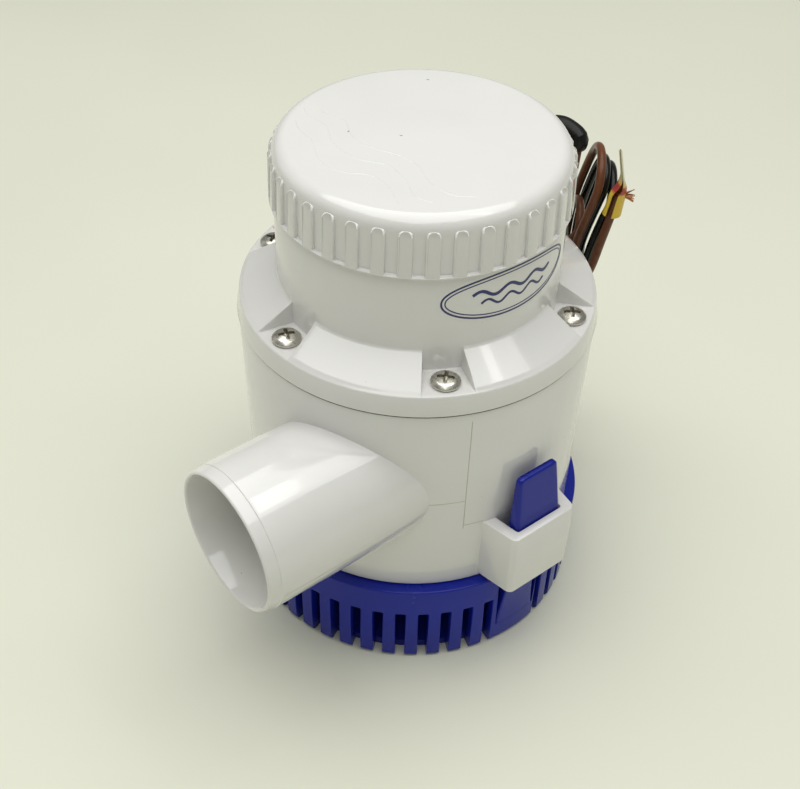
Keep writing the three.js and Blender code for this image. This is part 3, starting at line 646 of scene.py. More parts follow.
def strandTree():
    tree, given, result = newTree("bareStrands", (
        ("Strands", "Int"), ("Length", "Float"), ("Spread", "Float"), ("Thickness", "Float"), ("Seed", "Int"),
        ("Material", "Material")))
    link, nodes = tree.links.new, tree.nodes
    spots = nodes.new("GeometryNodePoints")
    link(given.outputs["Strands"], spots.inputs["Count"])
    scatter = nodes.new("FunctionNodeRandomValue")
    scatter.data_type = "FLOAT_VECTOR"
    scatter.inputs[0].default_value = (-0.0006, -0.0006, 0)
    scatter.inputs[1].default_value = (0.0006, 0.0006, 0)
    link(given.outputs["Seed"], scatter.inputs["Seed"])
    link(scatter.outputs[0], spots.inputs["Position"])
    hair = nodes.new("GeometryNodeCurvePrimitiveBezierSegment")
    hair.inputs["Resolution"].default_value = 8
    hair.inputs["Start"].default_value = (0, 0, 0)
    hair.inputs["Start Handle"].default_value = (0, 0, 0.003)
    hair.inputs["End Handle"].default_value = (0.0004, 0.0002, 0.0045)
    hair.inputs["End"].default_value = (0.0012, 0.0005, 0.0065)
    lean = nodes.new("FunctionNodeRandomValue")
    lean.data_type = "FLOAT_VECTOR"
    spread = nodes.new("ShaderNodeCombineXYZ")
    for i in (0, 1):
        link(given.outputs["Spread"], spread.inputs[i])
    spread.inputs[2].default_value = 6.28
    narrow = nodes.new("ShaderNodeVectorMath")
    narrow.operation = "SCALE"
    narrow.inputs["Scale"].default_value = -1
    link(spread.outputs[0], narrow.inputs[0])
    link(narrow.outputs[0], lean.inputs[0])
    link(spread.outputs[0], lean.inputs[1])
    link(mathNode(tree, "ADD", given.outputs["Seed"], 7), lean.inputs["Seed"])
    copies = nodes.new("GeometryNodeInstanceOnPoints")
    link(spots.outputs[0], copies.inputs["Points"])
    link(hair.outputs[0], copies.inputs["Instance"])
    link(lean.outputs[0], copies.inputs["Rotation"])
    link(given.outputs["Length"], copies.inputs["Scale"])
    real = nodes.new("GeometryNodeRealizeInstances")
    link(copies.outputs[0], real.inputs[0])
    ring = nodes.new("GeometryNodeCurvePrimitiveCircle")
    ring.inputs["Resolution"].default_value = 5
    link(given.outputs["Thickness"], ring.inputs["Radius"])
    wires = nodes.new("GeometryNodeCurveToMesh")
    wires.inputs["Fill Caps"].default_value = True
    link(real.outputs[0], wires.inputs["Curve"])
    link(ring.outputs[0], wires.inputs["Profile Curve"])
    return painted(tree, wires.outputs[0], given, result)


strandsTree = strandTree()


# strands made at the origin, then laid along the lead's last stretch
def bareEnd(name, path, lean, spread, seed, node):
    piece = addMesh(name, [], [])
    useTree(piece, strandsTree, Strands=strand["count"], Length=strand["length"], Spread=spread,
            Thickness=strand["thickness"], Seed=seed, Material=copper)
    ahead = (path[-1] - path[-4]).normalized().lerp(Vector(lean).normalized(), strand["lean"]).normalized()
    turn = ahead.to_track_quat("Z", "X").to_matrix().to_4x4()
    piece.data.transform(Matrix.Translation((path[-1] - strand["start"] * ahead) * mm) @ turn)
    smooth(piece, 60)
    return dress(piece, copper, "pump", node, slot="copper")


brownStrands = bareEnd("brownBareEnd", leadPaths["brown"], (0.55, 0.3, -0.5), 0.3, 5, "brown_bare_end")
blackStrands = bareEnd("blackBareEnd", leadPaths["black"], (0, 0, -1), 0.1, 11, "black_bare_end")

sleeveWalk = smoothPath(sleeveLine, 1.2)
sleeveRadii = [sleeve["radius"] + sleeve["ripple"] * math.sin(0.9 * i) * math.sin(0.23 * i)
               for i in range(len(sleeveWalk))]
sleeveRadii[-1] = sleeveRadii[0] = sleeve["radius"] - 0.1
leadSleeve = smooth(tube("leadSleeve", sleeveWalk, sleeveRadii, sleeve["bore"]))
dress(leadSleeve, blackRubber, "pump", "lead_sleeve", slot="black_rubber")


# the yellow tag wrapped round the brown lead's end, its ends pressed together as a fin
tag = {"lowZ": 131.5, "wrapZ": 140, "topZ": 158.5, "wrap": 2.5, "thickness": 0.22}


def tagMaterial():
    material, tree, shader = addMaterial("tagPaper", (0.72, 0.48, 0.03), 0.42, Coat_Weight=0.3,
                                         Coat_Roughness=0.25)
    where = tree.nodes.new("ShaderNodeUVMap")
    where.uv_map = "tag"
    split = tree.nodes.new("ShaderNodeSeparateXYZ")
    tree.links.new(where.outputs[0], split.inputs[0])
    height = mathNode(tree, "SUBTRACT", split.outputs[1], 0.05)
    wobble = mathNode(tree, "MULTIPLY_ADD", noise(tree, 260, 2), 0.10, height)
    yellow, red, pale = (0.74, 0.50, 0.025), (0.42, 0.03, 0.03), (0.66, 0.62, 0.42)
    bands = ramp(tree, wobble, ((0.0, yellow), (0.36, yellow), (0.39, red), (0.50, red), (0.53, yellow),
                                (0.60, pale)))
    bands.node.color_ramp.interpolation = "LINEAR"
    tree.links.new(bands, shader.inputs["Base Color"])
    tree.links.new(rangeOf(tree, noise(tree, 500, 3), 0.34, 0.55), shader.inputs["Roughness"])
    bumped(tree, shader, (noise(tree, 320, 3), 0.3, 0.25))
    return material


# cross-sections run from an open ring round the lead to a flat fin that narrows to a tip
def leadTagSheet():
    rows, columns = 26, 29
    points, faces, uvs = [], [], []
    for row in range(rows):
        rise = row / (rows - 1)
        z = tag["lowZ"] + (tag["topZ"] - tag["lowZ"]) * rise
        fin = min(max((z - tag["wrapZ"]) / 8, 0), 1)
        fin = fin * fin * (3 - 2 * fin)
        tip = max(0, (rise - 0.45) / 0.55)
        wide = tag["wrap"] * (1 - fin) + 0.32 * fin
        long = (tag["wrap"] * (1 - fin) + 4.4 * fin) * (1 - 0.9 * tip ** 1.3)
        centre = 5.0 + 1.1 * fin - 4.6 * tip, -16.4 + 1.2 * tip
        for column in range(columns):
            turn = math.radians(-100 + 320 * column / (columns - 1))
            flare = 1 + 0.25 * (1 - rise) ** 3
            across = centre[0] + wide * math.cos(turn) * flare
            points.append(inHank(across, centre[1] + long * math.sin(turn) * flare, z))
            uvs.append((column / (columns - 1), rise))
    for row in range(rows - 1):
        for column in range(columns - 1):
            a = row * columns + column
            faces.append([a, a + 1, a + columns + 1, a + columns])
    mesh = bpy.data.meshes.new("leadTag")
    mesh.from_pydata([p * mm for p in points], [], faces)
    layer = mesh.uv_layers.new(name="tag")
    for loop in mesh.loops:
        layer.data[loop.index].uv = uvs[loop.vertex_index]
    piece = bpy.data.objects.new("leadTag", mesh)
    bpy.context.collection.objects.link(piece)
    wall = piece.modifiers.new("thickness", "SOLIDIFY")
    wall.thickness = tag["thickness"] * mm
    wall.offset = 1
    return smooth(settled(piece), 60)


leadTag = dress(leadTagSheet(), tagMaterial(), "pump", "lead_tag", slot="yellow_tape")

# the tie round the hank's waist
tie = {"across": 7.6, "near": -9.4, "far": 8.3, "corner": 3.2, "wall": 1.1, "low": 70.2, "high": 73.8,
       "head": (5.4, 4.2, 5.4), "middle": 72, "tailHalf": 1.8}


def hankTie():
    def loop(grow):
        x, r = tie["across"] + grow, tie["corner"] + grow
        low, high = tie["near"] - grow, tie["far"] + grow
        return rounded([(-x, low, r), (x, low, r), (x, high, r), (-x, high, r)], 6)
    band = prism("hankTie", loop(tie["wall"]), edged(tie["low"], tie["high"], 0.3), inHank)
    carve(band, prism("tieHole", loop(0), [(tie["low"] - 1, 0), (tie["high"] + 1, 0)], inHank))
    wide, deep, high = tie["head"]
    y = tie["far"] + tie["wall"] - 0.3
    middle, half = tie["middle"], tie["tailHalf"]
    block = rounded([(-wide / 2, y, 0.6), (wide / 2, y, 0.6), (wide / 2, y + deep, 0.6),
                     (-wide / 2, y + deep, 0.6)], 3)
    head = prism("tieHead", block, edged(middle - high / 2, middle + high / 2, 0.4), inHank)
    tail = prism("tieTail", [(-half, y + 1.2), (half, y + 1.2), (half, y + 2.3), (-half, y + 2.3)],
                 edged(middle, middle + high / 2 + 3.2, 0.2), inHank)
    return smooth(carve(carve(band, head, "UNION"), tail, "UNION"))


leadTie = dress(hankTie(), blackPlastic, "pump", "hank_tie", slot="black_plastic")

leadWords = {
    "brown": (brownSheath, ["brown_lead", "brown_hank", "brown_tail"], "brown_sheath",
              [leadSleeve, leadTie, leadTag, brownStrands]),
    "black": (blackSheath, ["black_lead", "black_hank", "black_tail"], "black_sheath", [blackStrands]),
}
for colour, (sheath, nodes, slotName, onIt) in leadWords.items():
    path = leadPaths[colour]
    wire = addLead(colour + "Lead", path, leads[colour]["radius"], sheath)
    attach(wire, "pump")
    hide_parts(*nodes)
    pathLength(path) * mm
    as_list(onIt)
    print(colour, "lead laid,", round(pathLength(path)), "mm long")

# strainer: slotted bowl with a smooth upper ring and two windows for the release arms
strainer = {
    "footR": 61.3, "wallR": 62.4, "topR": 63.0, "innerR": 59.4, "lipR": 54.5, "floor": 3, "lipZ": 33.5,
    "topZ": 36.3, "slots": 48, "slotPhase": 3.1, "slotHalf": 1.675, "slotTop": 24, "slotEdge": 0.35,
    "slotInner": 57.4, "clearOfTabs": math.sin(math.radians(7.5)), "holes": 4, "holeR": 2.6, "holeCircle": 40,
    "windowHalf": 9.1, "windowTopHalf": 9.8, "windowZ": 8.94,
}


def slotCutter():
    s = strainer
    outline = rounded([(-s["slotHalf"], -2), (s["slotHalf"], -2), (s["slotHalf"], s["slotTop"], 0.35),
                       (-s["slotHalf"], s["slotTop"], 0.35)], 3)
    layers = [(s["slotInner"], 0), (s["wallR"] - 0.45, 0), (s["wallR"] + 0.05, -0.12),
              (s["wallR"] + 0.75, -s["slotEdge"] - 0.45)]
    return prism("slotCutter", outline, layers, lambda y, z, x: (x, y, z))


def windowCutter():
    s = strainer
    outline = [(-s["windowHalf"], s["windowZ"]), (s["windowHalf"], s["windowZ"]),
               (s["windowTopHalf"], s["topZ"] + 2), (-s["windowTopHalf"], s["topZ"] + 2)]
    return prism("windowCutter", outline, [(s["innerR"] - 0.1, 0), (s["topR"] + 2, 0)],
                 lambda y, z, x: (x, y, z))


def strainerShell():
    s = strainer
    profile = rounded([
        (0, 0), (s["footR"], 0, 0.5), (s["wallR"], 1.4, 0.8), (s["topR"], s["topZ"], 0.7),
        (s["lipR"], s["topZ"], 0.3), (s["lipR"], s["lipZ"]), (s["innerR"], s["lipZ"]),
        (s["innerR"], s["floor"], 0.8), (0, s["floor"])], 3)
    shell = turned("strainerShell", profile, 288)
    repeat("slots", cutRound, slotCutter(), bluePlastic, shell, s["slots"], s["slotPhase"], s["clearOfTabs"])
    repeat("windows", cutRound, windowCutter(), bluePlastic, shell, 2)
    drill = turned("drill", [(0, -1), (s["holeR"] + 0.6, -1), (s["holeR"], 0.5), (s["holeR"], 2.5),
                             (s["holeR"] + 0.9, s["floor"] + 0.6), (0, s["floor"] + 0.6)], 32)
    repeat("holes", cutRound, drill, bluePlastic, shell, s["holes"], 45, -1, s["holeCircle"])
    return smooth(shell)


dress(strainerShell(), bluePlastic, "strainer", "strainer_base", slot="blue_plastic")
print("strainer done")

# release tabs: a springy arm that leaves the strainer wall and ends in a thumb plate
tab = {
    # height, front face, back face, half width
    "levels": ((9.0, 62.5, 59.9, 8.75), (14, 62.6, 60.0, 8.2), (20, 62.9, 60.2, 7.4), (28, 63.3, 60.4, 6.5),
               (34, 64.5, 61.2, 6.5), (40, 65.8, 61.8, 6.5), (46, 66.8, 62.4, 6.5), (49, 67.25, 62.9, 8.2),
               (52, 67.7, 63.3, 9.6), (54, 68.0, 63.5, 9.7), (60, 68.05, 63.5, 9.7), (65, 68.05, 63.5, 9.7),
               (72, 67.2, 63.4, 9.3), (79, 66.35, 63.3, 8.9), (83.0, 65.85, 63.25, 8.65)),
    "topZ": 85.6, "crownHalf": 8.55, "crownZ": 83.0, "crownFront": 65.85, "crownBack": 63.2, "corner": 1.8,
    "edge": 0.9, "plateZ": 50, "bowlTopZ": 32, "wallR": 62.5,
}


# a rectangle with a broad front chamfer and small rounded back edges; low down it follows the bowl's wall
def tabSection(front, back, half, edge, follow):
    e, f = min(edge, half / 2), min(0.5, half / 3)
    level = [(front, (half - e) * k / 5) for k in range(-4, 5)]
    ring = rounded([(back, -half, f), (front - 0.75 * e, -half, 0.3), (front, -half + e, 0.3), *level,
                    (front, half - e, 0.3), (front - 0.75 * e, half, 0.3), (back, half, f)], 3)
    if not follow:
        return ring
    return [(x - follow * (tab["wallR"] - math.sqrt(tab["wallR"] ** 2 - y * y)), y) for x, y in ring]


def releaseTab(name, body, node, turn):
    t = tab
    sections = [(z, front, back, half, t["edge"] if z > t["plateZ"] else 0.5)
                for z, front, back, half in t["levels"]]
    for k in range(1, 7):  # the rounded crown
        drop = t["corner"] * (1 - math.sin(math.pi / 2 * k / 6))
        sink = t["corner"] * (1 - math.cos(math.pi / 2 * k / 6))
        z = t["topZ"] - drop
        front = t["crownFront"] - (z - t["crownZ"]) * 0.1 - 1.0 * (k / 6) ** 3
        sections.append((z, front, t["crownBack"] + 0.3 * (k / 6) ** 3, t["crownHalf"] - sink, t["edge"]))
    points, faces, count = [], [], None
    for z, front, back, half, edge in sections:
        ring = tabSection(front, back, half, edge, min(max((t["bowlTopZ"] - z) / 14, 0), 1))
        count = len(ring)
        for x, y in ring:
            ax, ay = (x, y) if turn == 0 else (-x, -y)
            points.append((ax, ay, z))
    for row in range(len(sections) - 1):
        for k in range(count):
            a, b = row * count + k, row * count + (k + 1) % count
            faces.append([a, b, b + count, a + count])
    faces += [list(range(count)), list(range(len(points) - count, len(points)))]
    return dress(smooth(addMesh(name, points, faces), 28), bluePlastic, body, node, slot="blue_plastic")


releaseTab("frontReleaseTab", "front_tab", "release_tab_front", 0)
releaseTab("rearReleaseTab", "rear_tab", "release_tab_rear", 180)
print("release tabs done")

# volute body: round wall, hose outlet and the two pockets that the tabs pass through
volute = {
    "bottomR": 59.2, "topR": 60.9, "wall": 3, "bottomZ": 36.6, "topZ": 117.4, "floorZ": 40, "floorTop": 43.5,
    "eyeR": 21, "eyeLipR": 24.5, "eyeLipZ": 47.5, "spigotR": 54.2, "spigotInner": 51, "spigotZ": 32,
    "rimR": 46.2, "rimZ": 113.4, "grooveR": 48, "grooveOuter": 50.9, "grooveDepth": 2.4, "bossR": 5.2,
    "bossBore": 2.85, "bossZ": 97,
}
outlet = {"x": 24.1, "z": 78.9, "outerR": 25.6, "boreR": 23.4, "start": 24, "boreStart": 26, "end": 96.3,
          "clear": 120, "taperR": 24.7, "taper": 4.5}
pocket = {"low": 38.4, "high": 65, "front": 71.4, "back": 56.6, "wall": 3, "halfFront": 13.7,
          "halfBack": 16.2, "corner": 2.5, "holeFront": 9.9, "holeBack": 11.5}
screws = {"count": 6, "circle": 53.85, "first": -90, "headR": 4.8, "headHeight": 2.4, "shankR": 2.4,
          "seat": 125.55, "tip": 101, "slotHalf": (2.75, 0.62), "turned": 35}


def wallInside(z):
    v = volute
    height = v["topZ"] - v["bottomZ"]
    return v["bottomR"] - v["wall"] + (v["topR"] - v["bottomR"]) * (z - v["bottomZ"]) / height


# turns a piece made about Z so that it points out of the outlet
def alongOutlet(x, y, z):
    return outlet["x"] + x, -z, outlet["z"] + y


def voluteShell():
    v, o, p = volute, outlet, pocket
    floor, rim, grooveFloor = v["floorTop"], v["rimZ"], v["topZ"] - v["grooveDepth"]
    shell = turned("voluteShell", rounded([
        (v["eyeR"], v["floorZ"], 0.5), (v["spigotInner"], v["floorZ"], 0.6),
        (v["spigotInner"], v["spigotZ"], 0.5), (v["spigotR"], v["spigotZ"], 0.5),
        (v["spigotR"], v["bottomZ"]), (v["bottomR"], v["bottomZ"], 0.9), (v["topR"], v["topZ"], 0.35),
        (v["grooveOuter"], v["topZ"]), (v["grooveOuter"], grooveFloor), (v["grooveR"], grooveFloor),
        (v["grooveR"], v["topZ"]), (v["rimR"], v["topZ"], 0.4), (v["rimR"], rim), (wallInside(rim), rim),
        (wallInside(floor), floor, 1.5), (v["eyeLipR"], floor, 0.6), (v["eyeLipR"], v["eyeLipZ"], 0.6),
        (v["eyeR"], v["eyeLipZ"], 0.6)], 3), 240)
    chamber = turned("chamber", [(0, floor), (wallInside(floor), floor), (wallInside(rim), rim), (0, rim)],
                     120)
    outer, bored, end, step = o["outerR"], o["boreR"], o["end"], o["end"] - o["taper"]
    pipe = turned("pipe", rounded([
        (0, o["start"]), (outer, o["start"]), (outer, step - 1), (outer, step, 0.1),
        (outer - 0.28, step + 0.25, 0.1), (outer - 0.4, step + 1.2), (o["taperR"] + 0.1, end - 1.4),
        (o["taperR"], end, 0.8), (bored - 1, end), (0, end)], 4), 128, alongOutlet)
    carve(pipe, chamber)
    carve(shell, pipe, "UNION")
    front, back, inner = p["front"], p["back"], p["front"] - p["wall"]
    outline = rounded([
        (back, -p["halfBack"]), (front, -p["halfFront"], p["corner"]), (front, p["halfFront"], p["corner"]),
        (back, p["halfBack"]), (back, p["holeBack"]), (inner, p["holeFront"], 0.9),
        (inner, -p["holeFront"], 0.9), (back, -p["holeBack"])], 5)
    for turn in (1, -1):
        carve(shell, prism("pocket", outline, edged(p["low"], p["high"], 0.45),
                           lambda x, y, z, turn=turn: (turn * x, turn * y, z)), "UNION")
    bore = turned("bore", [
        (0, o["boreStart"]), (bored, o["boreStart"]), (bored, end - 0.7), (bored + 0.25, end - 0.25),
        (bored + 0.7, end + 0.1), (bored + 0.7, o["clear"]), (0, o["clear"])], 128, alongOutlet)
    carve(shell, bore)
    boss = turned("boss", [(v["bossBore"], v["bossZ"]), (v["bossR"], v["bossZ"]), (v["bossR"], rim + 0.6),
                           (v["bossBore"], rim + 0.6)], 28)
    repeat("bosses", joinedRound, boss, whitePlastic, shell, screws["count"], screws["first"], -1,
           screws["circle"])
    return smooth(shell)


partings = {"radius": 0.22, "proud": 0.07, "pipeTurn": -14}  # thin beads where the halves of the mould met


def partingLines():
    v = volute
    sink = partings["radius"] - partings["proud"]

    def onWall(azimuth, z):
        r = wallInside(z) + v["wall"] - sink
        return (*onCircle(r, azimuth), z)
    upright = [([onWall(azimuth, 64 + 50 * k / 24) for k in range(25)], False) for azimuth in (-22.5, 157.5)]
    level = [([onWall(a + (b - a) * k / 12, z) for k in range(13)], False)
             for a, b, z in ((-35.2, -22.5, 77.6), (-22.5, -15.6, 65.6))]
    x, z = onCircle(outlet["outerR"] - sink, partings["pipeTurn"])
    pipeLine = [([(outlet["x"] + x, -41 - 50 * k / 20, outlet["z"] + z) for k in range(21)], False)]
    lines = addLines("partingBeads", upright + level + pipeLine)
    return smooth(useTree(lines, beads, Radius=partings["radius"] * mm, Sides=8, Material=partingPlastic), 60)


# a thin dark ring of painted shade, standing in for the shaded gap that shows all round between body and
# flange
seam = {"r": 60.98, "z": 117.575, "radius": 0.172}


def seamLine():
    ring = [(*onCircle(seam["r"], 3 * k), seam["z"]) for k in range(120)]
    return smooth(useTree(addLines("seamSealant", [(ring, True)]), beads, Radius=seam["radius"] * mm, Sides=8,
                          Material=sealant), 60)


dress(voluteShell(), whitePlastic, "pump", "volute_body", slot="white_plastic")
# the beads' darker colour is painted shade along the parting lines
dress(partingLines(), partingPlastic, "pump", slot="white_plastic")
# the dark ring is painted shade in the gap between body and flange
dress(seamLine(), sealant, "pump", slot="black_rubber")
print("volute body done")

# motor housing: flange with six notched screw seats, a cone and the neck
housing = {
    "cupR": 43.9, "cupInner": 40.9, "cupZ": 84, "cupFloor": 87.5, "bossR": 15, "bossZ": 93, "sealR": 11.3,
    "sealZ": 90.5, "shaftHole": 5.2, "flangeR": 61.4, "flangeTopR": 60.2, "flangeZ": 117.75, "seat": 125.2,
    "coneTop": 133.1, "neckR": 47.4, "shoulder": 160.4, "plugR": 44.6, "plugInner": 41.6, "top": 174,
    "grooveR": 42.6, "groove": (166.9, 169.5), "notchHalf": (5.9, 8.9), "notchFlare": 0.3,
    # the flange's softened rim as radius and drop, then the rings of its cone
    "rims": ((60.33, 0.75), (60.25, 0.42), (60.05, 0.16), (59.7, 0.03)),
    "rings": (59.2, 58.4, 57.2, 55.8, 54.4, 53, 51.6, 50.4, 49.4, 48.7, 48.2, 47.85),
}
notchAt, notchNear = 8.0, 10.5  # degrees from a screw: the notch's side, and where plain columns take over
notchOffsets = (0, 2, 4, 5.6, 6.8, 7.5, 7.8, 7.93, 7.97, 8.05, 8.15, 8.25, 8.32, 8.4, 8.55, 8.75, 9.1, 9.8,
                10.8, 12.4, 14.5, 17, 20, 23.3, 26.6)


def notchEdge(r):
    half = housing["notchHalf"]
    return math.degrees(math.asin((half[0] + (half[1] - half[0]) * (r - 46) / 17) / r))


# columns close to a notch follow its side, so their angle depends on the radius
def columnTurn(r, offset):
    edge = notchEdge(min(max(r, housing["neckR"]), housing["flangeR"]))
    side, offset = math.copysign(1, offset), abs(offset)
    if offset <= notchNear:
        return side * offset * edge / notchAt
    return side * (30 - (30 - offset) * (30 - notchNear * edge / notchAt) / (30 - notchNear))


# height of the flange's top: the cone, or the flat seat inside the notch, blended softly at the notch's side
def flangeHeight(r, offset):
    h = housing
    cone = h["seat"] + (h["coneTop"] - h["seat"]) * (h["flangeTopR"] - r) / (h["flangeTopR"] - h["neckR"])
    inside = (abs(offset) - notchAt) * math.radians(r)
    share = min(max((inside + 0.05) / h["notchFlare"], 0), 1)
    height = h["seat"] + (cone - h["seat"]) * share
    dip = 0.12 * math.exp(-((inside - h["notchFlare"]) / 0.35) ** 2)
    return height - dip * min(max(cone - h["seat"], 0), 1)


def housingShell():
    h = housing
    under = rounded([
        (h["sealR"], h["sealZ"]), (h["sealR"], h["cupZ"]), (h["cupR"], h["cupZ"], 1.2),
        (h["cupR"], h["flangeZ"]), (h["flangeR"], h["flangeZ"], 0.4), (h["flangeTopR"], 140)], 3)[:-1]
    plug, (low, high) = h["plugR"], h["groove"]
    above = rounded([
        (h["neckR"], 140), (h["neckR"], h["shoulder"], 0.4), (plug, h["shoulder"]), (plug, low),
        (h["grooveR"], low), (h["grooveR"], high), (plug, high), (plug, h["top"], 0.6),
        (h["plugInner"], h["top"]), (h["cupInner"], h["cupFloor"]), (h["bossR"], h["cupFloor"]),
        (h["bossR"], h["bossZ"]), (h["shaftHole"], h["bossZ"]), (h["shaftHole"], h["sealZ"])], 3)
    offsets = sorted({side * o for o in notchOffsets for side in (1, -1)} | {30})
    columns = [(screws["first"] + 60 * k, o) for k in range(6) for o in offsets]
    points, faces = [], []
    for azimuth, offset in columns:
        column = list(under)
        column += [(r, flangeHeight(h["flangeTopR"], offset) - drop) for r, drop in h["rims"]]
        column += [(r, flangeHeight(r, offset)) for r in h["rings"]]
        base = flangeHeight(h["neckR"], offset)
        column += [(47.6, base + 0.08), (47.45, base + 0.25), (h["neckR"], base + 0.6)] + above
        points += [(*onCircle(r, azimuth + columnTurn(r, offset)), z) for r, z in column]
        size = len(column)
    for c in range(len(columns)):
        n = (c + 1) % len(columns)
        for k in range(size):
            m = (k + 1) % size
            faces.append([c * size + k, n * size + k, n * size + m, c * size + m])
    return smooth(addMesh("housingShell", points, faces), 34)


dress(housingShell(), whitePlastic, "pump", "motor_housing", slot="white_plastic")


def screwHead():
    s = screws
    shank, tip, seat, top = s["shankR"], s["tip"], s["seat"], s["seat"] + s["headHeight"]
    form = turned("screwHead", rounded([
        (0, tip), (1.6, tip), (shank, tip + 1), (shank, seat), (s["headR"], seat, 0.25),
        (s["headR"], seat + 0.75, 0.5), (3.6, seat + 1.85, 2.0), (1.8, top - 0.08, 1.2), (0, top)], 4), 48)
    long, thin = s["slotHalf"]
    wings = [(-long, -thin), (long, -thin), (long, thin), (-long, thin)]
    for turn in (0, 90):
        def place(x, y, z, turn=turn):
            ax, ay = onCircle(1, turn + s["turned"])
            return x * ax - y * ay, x * ay + y * ax, z
        carve(form, prism("driverSlot", wings, [(top - 2.2, 0.36), (top - 1.2, 0.14), (top + 0.6, -0.1)],
                          place))
    return form


coverScrews = repeat("coverScrews", copiesRound, screwHead(), stainless, None, screws["count"],
                     screws["first"], -1, screws["circle"], 300, 4)
dress(smooth(coverScrews, 30), stainless, "pump", *[f"cover_screw_{k}" for k in range(1, 7)],
      slot="stainless")
print("housing and screws done")

# ribbed cap with faint raised waves on its top
cap = {
    "rimR": 48.9, "rimZ": 160.8, "rimTop": 161.3, "wallR": 47.6, "wallTopR": 47.4, "cornerZ": 175.4,
    "cornerR": 4.9, "crownZ": 180.9, "innerR": 45.2, "innerTop": 177.6, "ribs": 37, "ribHalf": 2.15,
    "ribPhase": 3.55, "ribRoot": 46.4, "ribLow": 160.95, "ribTop": 176.8, "ribFront": (48.86, 48.5),
    "ribCorner": 1.75, "ribEdge": 0.42, "waveR": 0.5, "waveSunk": 0.44,
}
waves = (
    ((-31, -26.5), (-25.5, -29), (-18.4, -29.5), (-6.2, -34.6), (1.9, -33.1), (9, -27.3), (16.1, -26.9),
     (25.7, -30)),
    ((-36, -20), (-30.8, -21.5), (-22.7, -21.1), (-11.1, -25.7), (-0.3, -24.7), (7.4, -20.1), (16.7, -20.6),
     (25.1, -23.7), (31.8, -21.7)),
    ((-35, -15.5), (-28.8, -16.7), (-21, -14.6), (-13, -18.2), (-5.7, -18.4), (6.7, -13.4), (13.9, -13.1),
     (22.9, -15.8), (32, -14.3), (36.5, -9)),
)


def crownHeight(r):
    c = cap
    edge = c["wallTopR"] - c["cornerR"]
    return c["crownZ"] - (c["crownZ"] - c["cornerZ"] - c["cornerR"]) * min(r / edge, 1) ** 2


# an upright bar with a round-cornered head that leans back into the wall
def capRib():
    c = cap
    half, low, top = c["ribHalf"], c["ribLow"], c["ribTop"]
    corner, edge, front = c["ribCorner"], c["ribEdge"], c["ribFront"][0]
    outline = rounded([(-half, low), (half, low), (half, top, corner), (-half, top, corner)], 5)
    layers = [(c["ribRoot"], 0), (front - edge, 0), (front - 0.3 * edge, 0.3 * edge), (front, edge)]

    def place(y, z, x):
        rise = (z - low) / (top - low)
        lean = (front - c["ribFront"][1]) * rise + 1.5 * max(0, (z - top + 1.9) / 1.9) ** 1.3
        return max(x - lean, 46.3) if x > 47 else x, y, max(z, low)
    return prism("rib", outline, layers, place)


def capShell():
    c = cap
    arc = [onCircle(c["cornerR"], 90 * k / 12) for k in range(13)]
    edge = c["wallTopR"] - c["cornerR"]
    inner, top, rim = c["innerR"], c["innerTop"], c["rimZ"]
    profile = [(0, top), (inner - 2, top), (inner, top - 2), (inner, rim)]
    profile += rounded([(inner, rim), (c["rimR"], rim, 0.15), (c["rimR"] - 0.05, c["rimTop"], 0.15),
                        (c["wallR"], c["rimTop"] + 0.15, 0.5), (c["wallTopR"], c["cornerZ"])], 3)[1:-1]
    profile += [(edge + r, c["cornerZ"] + z) for r, z in arc]
    profile += [(r, crownHeight(r)) for r in (36, 28, 20, 12, 6)] + [(0, c["crownZ"])]
    shell = turned("capShell", profile, 228)
    repeat("ribs", joinedRound, capRib(), whitePlastic, shell, c["ribs"], c["ribPhase"])
    return smooth(shell, 30)


def capWaves():
    lines = []
    for wave in waves:
        walk = smoothPath([(x, y, 0) for x, y in wave], 1.0)
        lines.append(([(p.x, p.y, crownHeight(math.hypot(p.x, p.y)) - cap["waveSunk"]) for p in walk], False))
    return smooth(useTree(addLines("capWaves", lines), beads, Radius=cap["waveR"] * mm, Sides=16,
                          Material=whitePlastic), 60)


dress(capShell(), whitePlastic, "pump", "cap", slot="white_plastic")
dress(capWaves(), whitePlastic, "pump", slot="white_plastic")
print("cap done")

# oval label on the neck: clear film, double outline and two plain waves
label = {"azimuth": -1.2, "z": 150.7, "half": (25.2, 8.1), "film": (26.6, 9.3), "proud": 0.06, "ink": 0.05,
         "blunt": 2.12, "lines": ((0.0, 0.62), (1.15, 0.38)),
         # rise, swing, reach, width
         "waves": ((1.6, 1.15, 15.5, 1.1), (-1.9, 1.15, 12.5, 0.8))}


def onNeck(across, up, proud):
    angle = label["azimuth"] + math.degrees(across / housing["neckR"])
    return (*onCircle(housing["neckR"] + proud, angle), label["z"] + up)


# a flat ink line of even width laid on the neck
def printedLine(centreline, width, proud, closed):
    points, faces = [], []
    count = len(centreline)
    for i, (x, y) in enumerate(centreline):
        before = centreline[i - 1 if closed or i else i]
        after = centreline[(i + 1) % count if closed or i < count - 1 else i]
        across = Vector((before[1] - after[1], after[0] - before[0])).normalized() * width / 2
        for sx, height in ((-1, proud), (1, proud), (1, -0.1), (-1, -0.1)):
            points.append(onNeck(x + sx * across.x, y + sx * across.y, height))
    for i in range(count if closed else count - 1):
        n = (i + 1) % count
        faces += [[4 * i + k, 4 * i + (k + 1) % 4, 4 * n + (k + 1) % 4, 4 * n + k] for k in range(4)]
    if not closed:
        faces += [[0, 1, 2, 3], [4 * count - 4, 4 * count - 3, 4 * count - 2, 4 * count - 1]]
    return points, faces


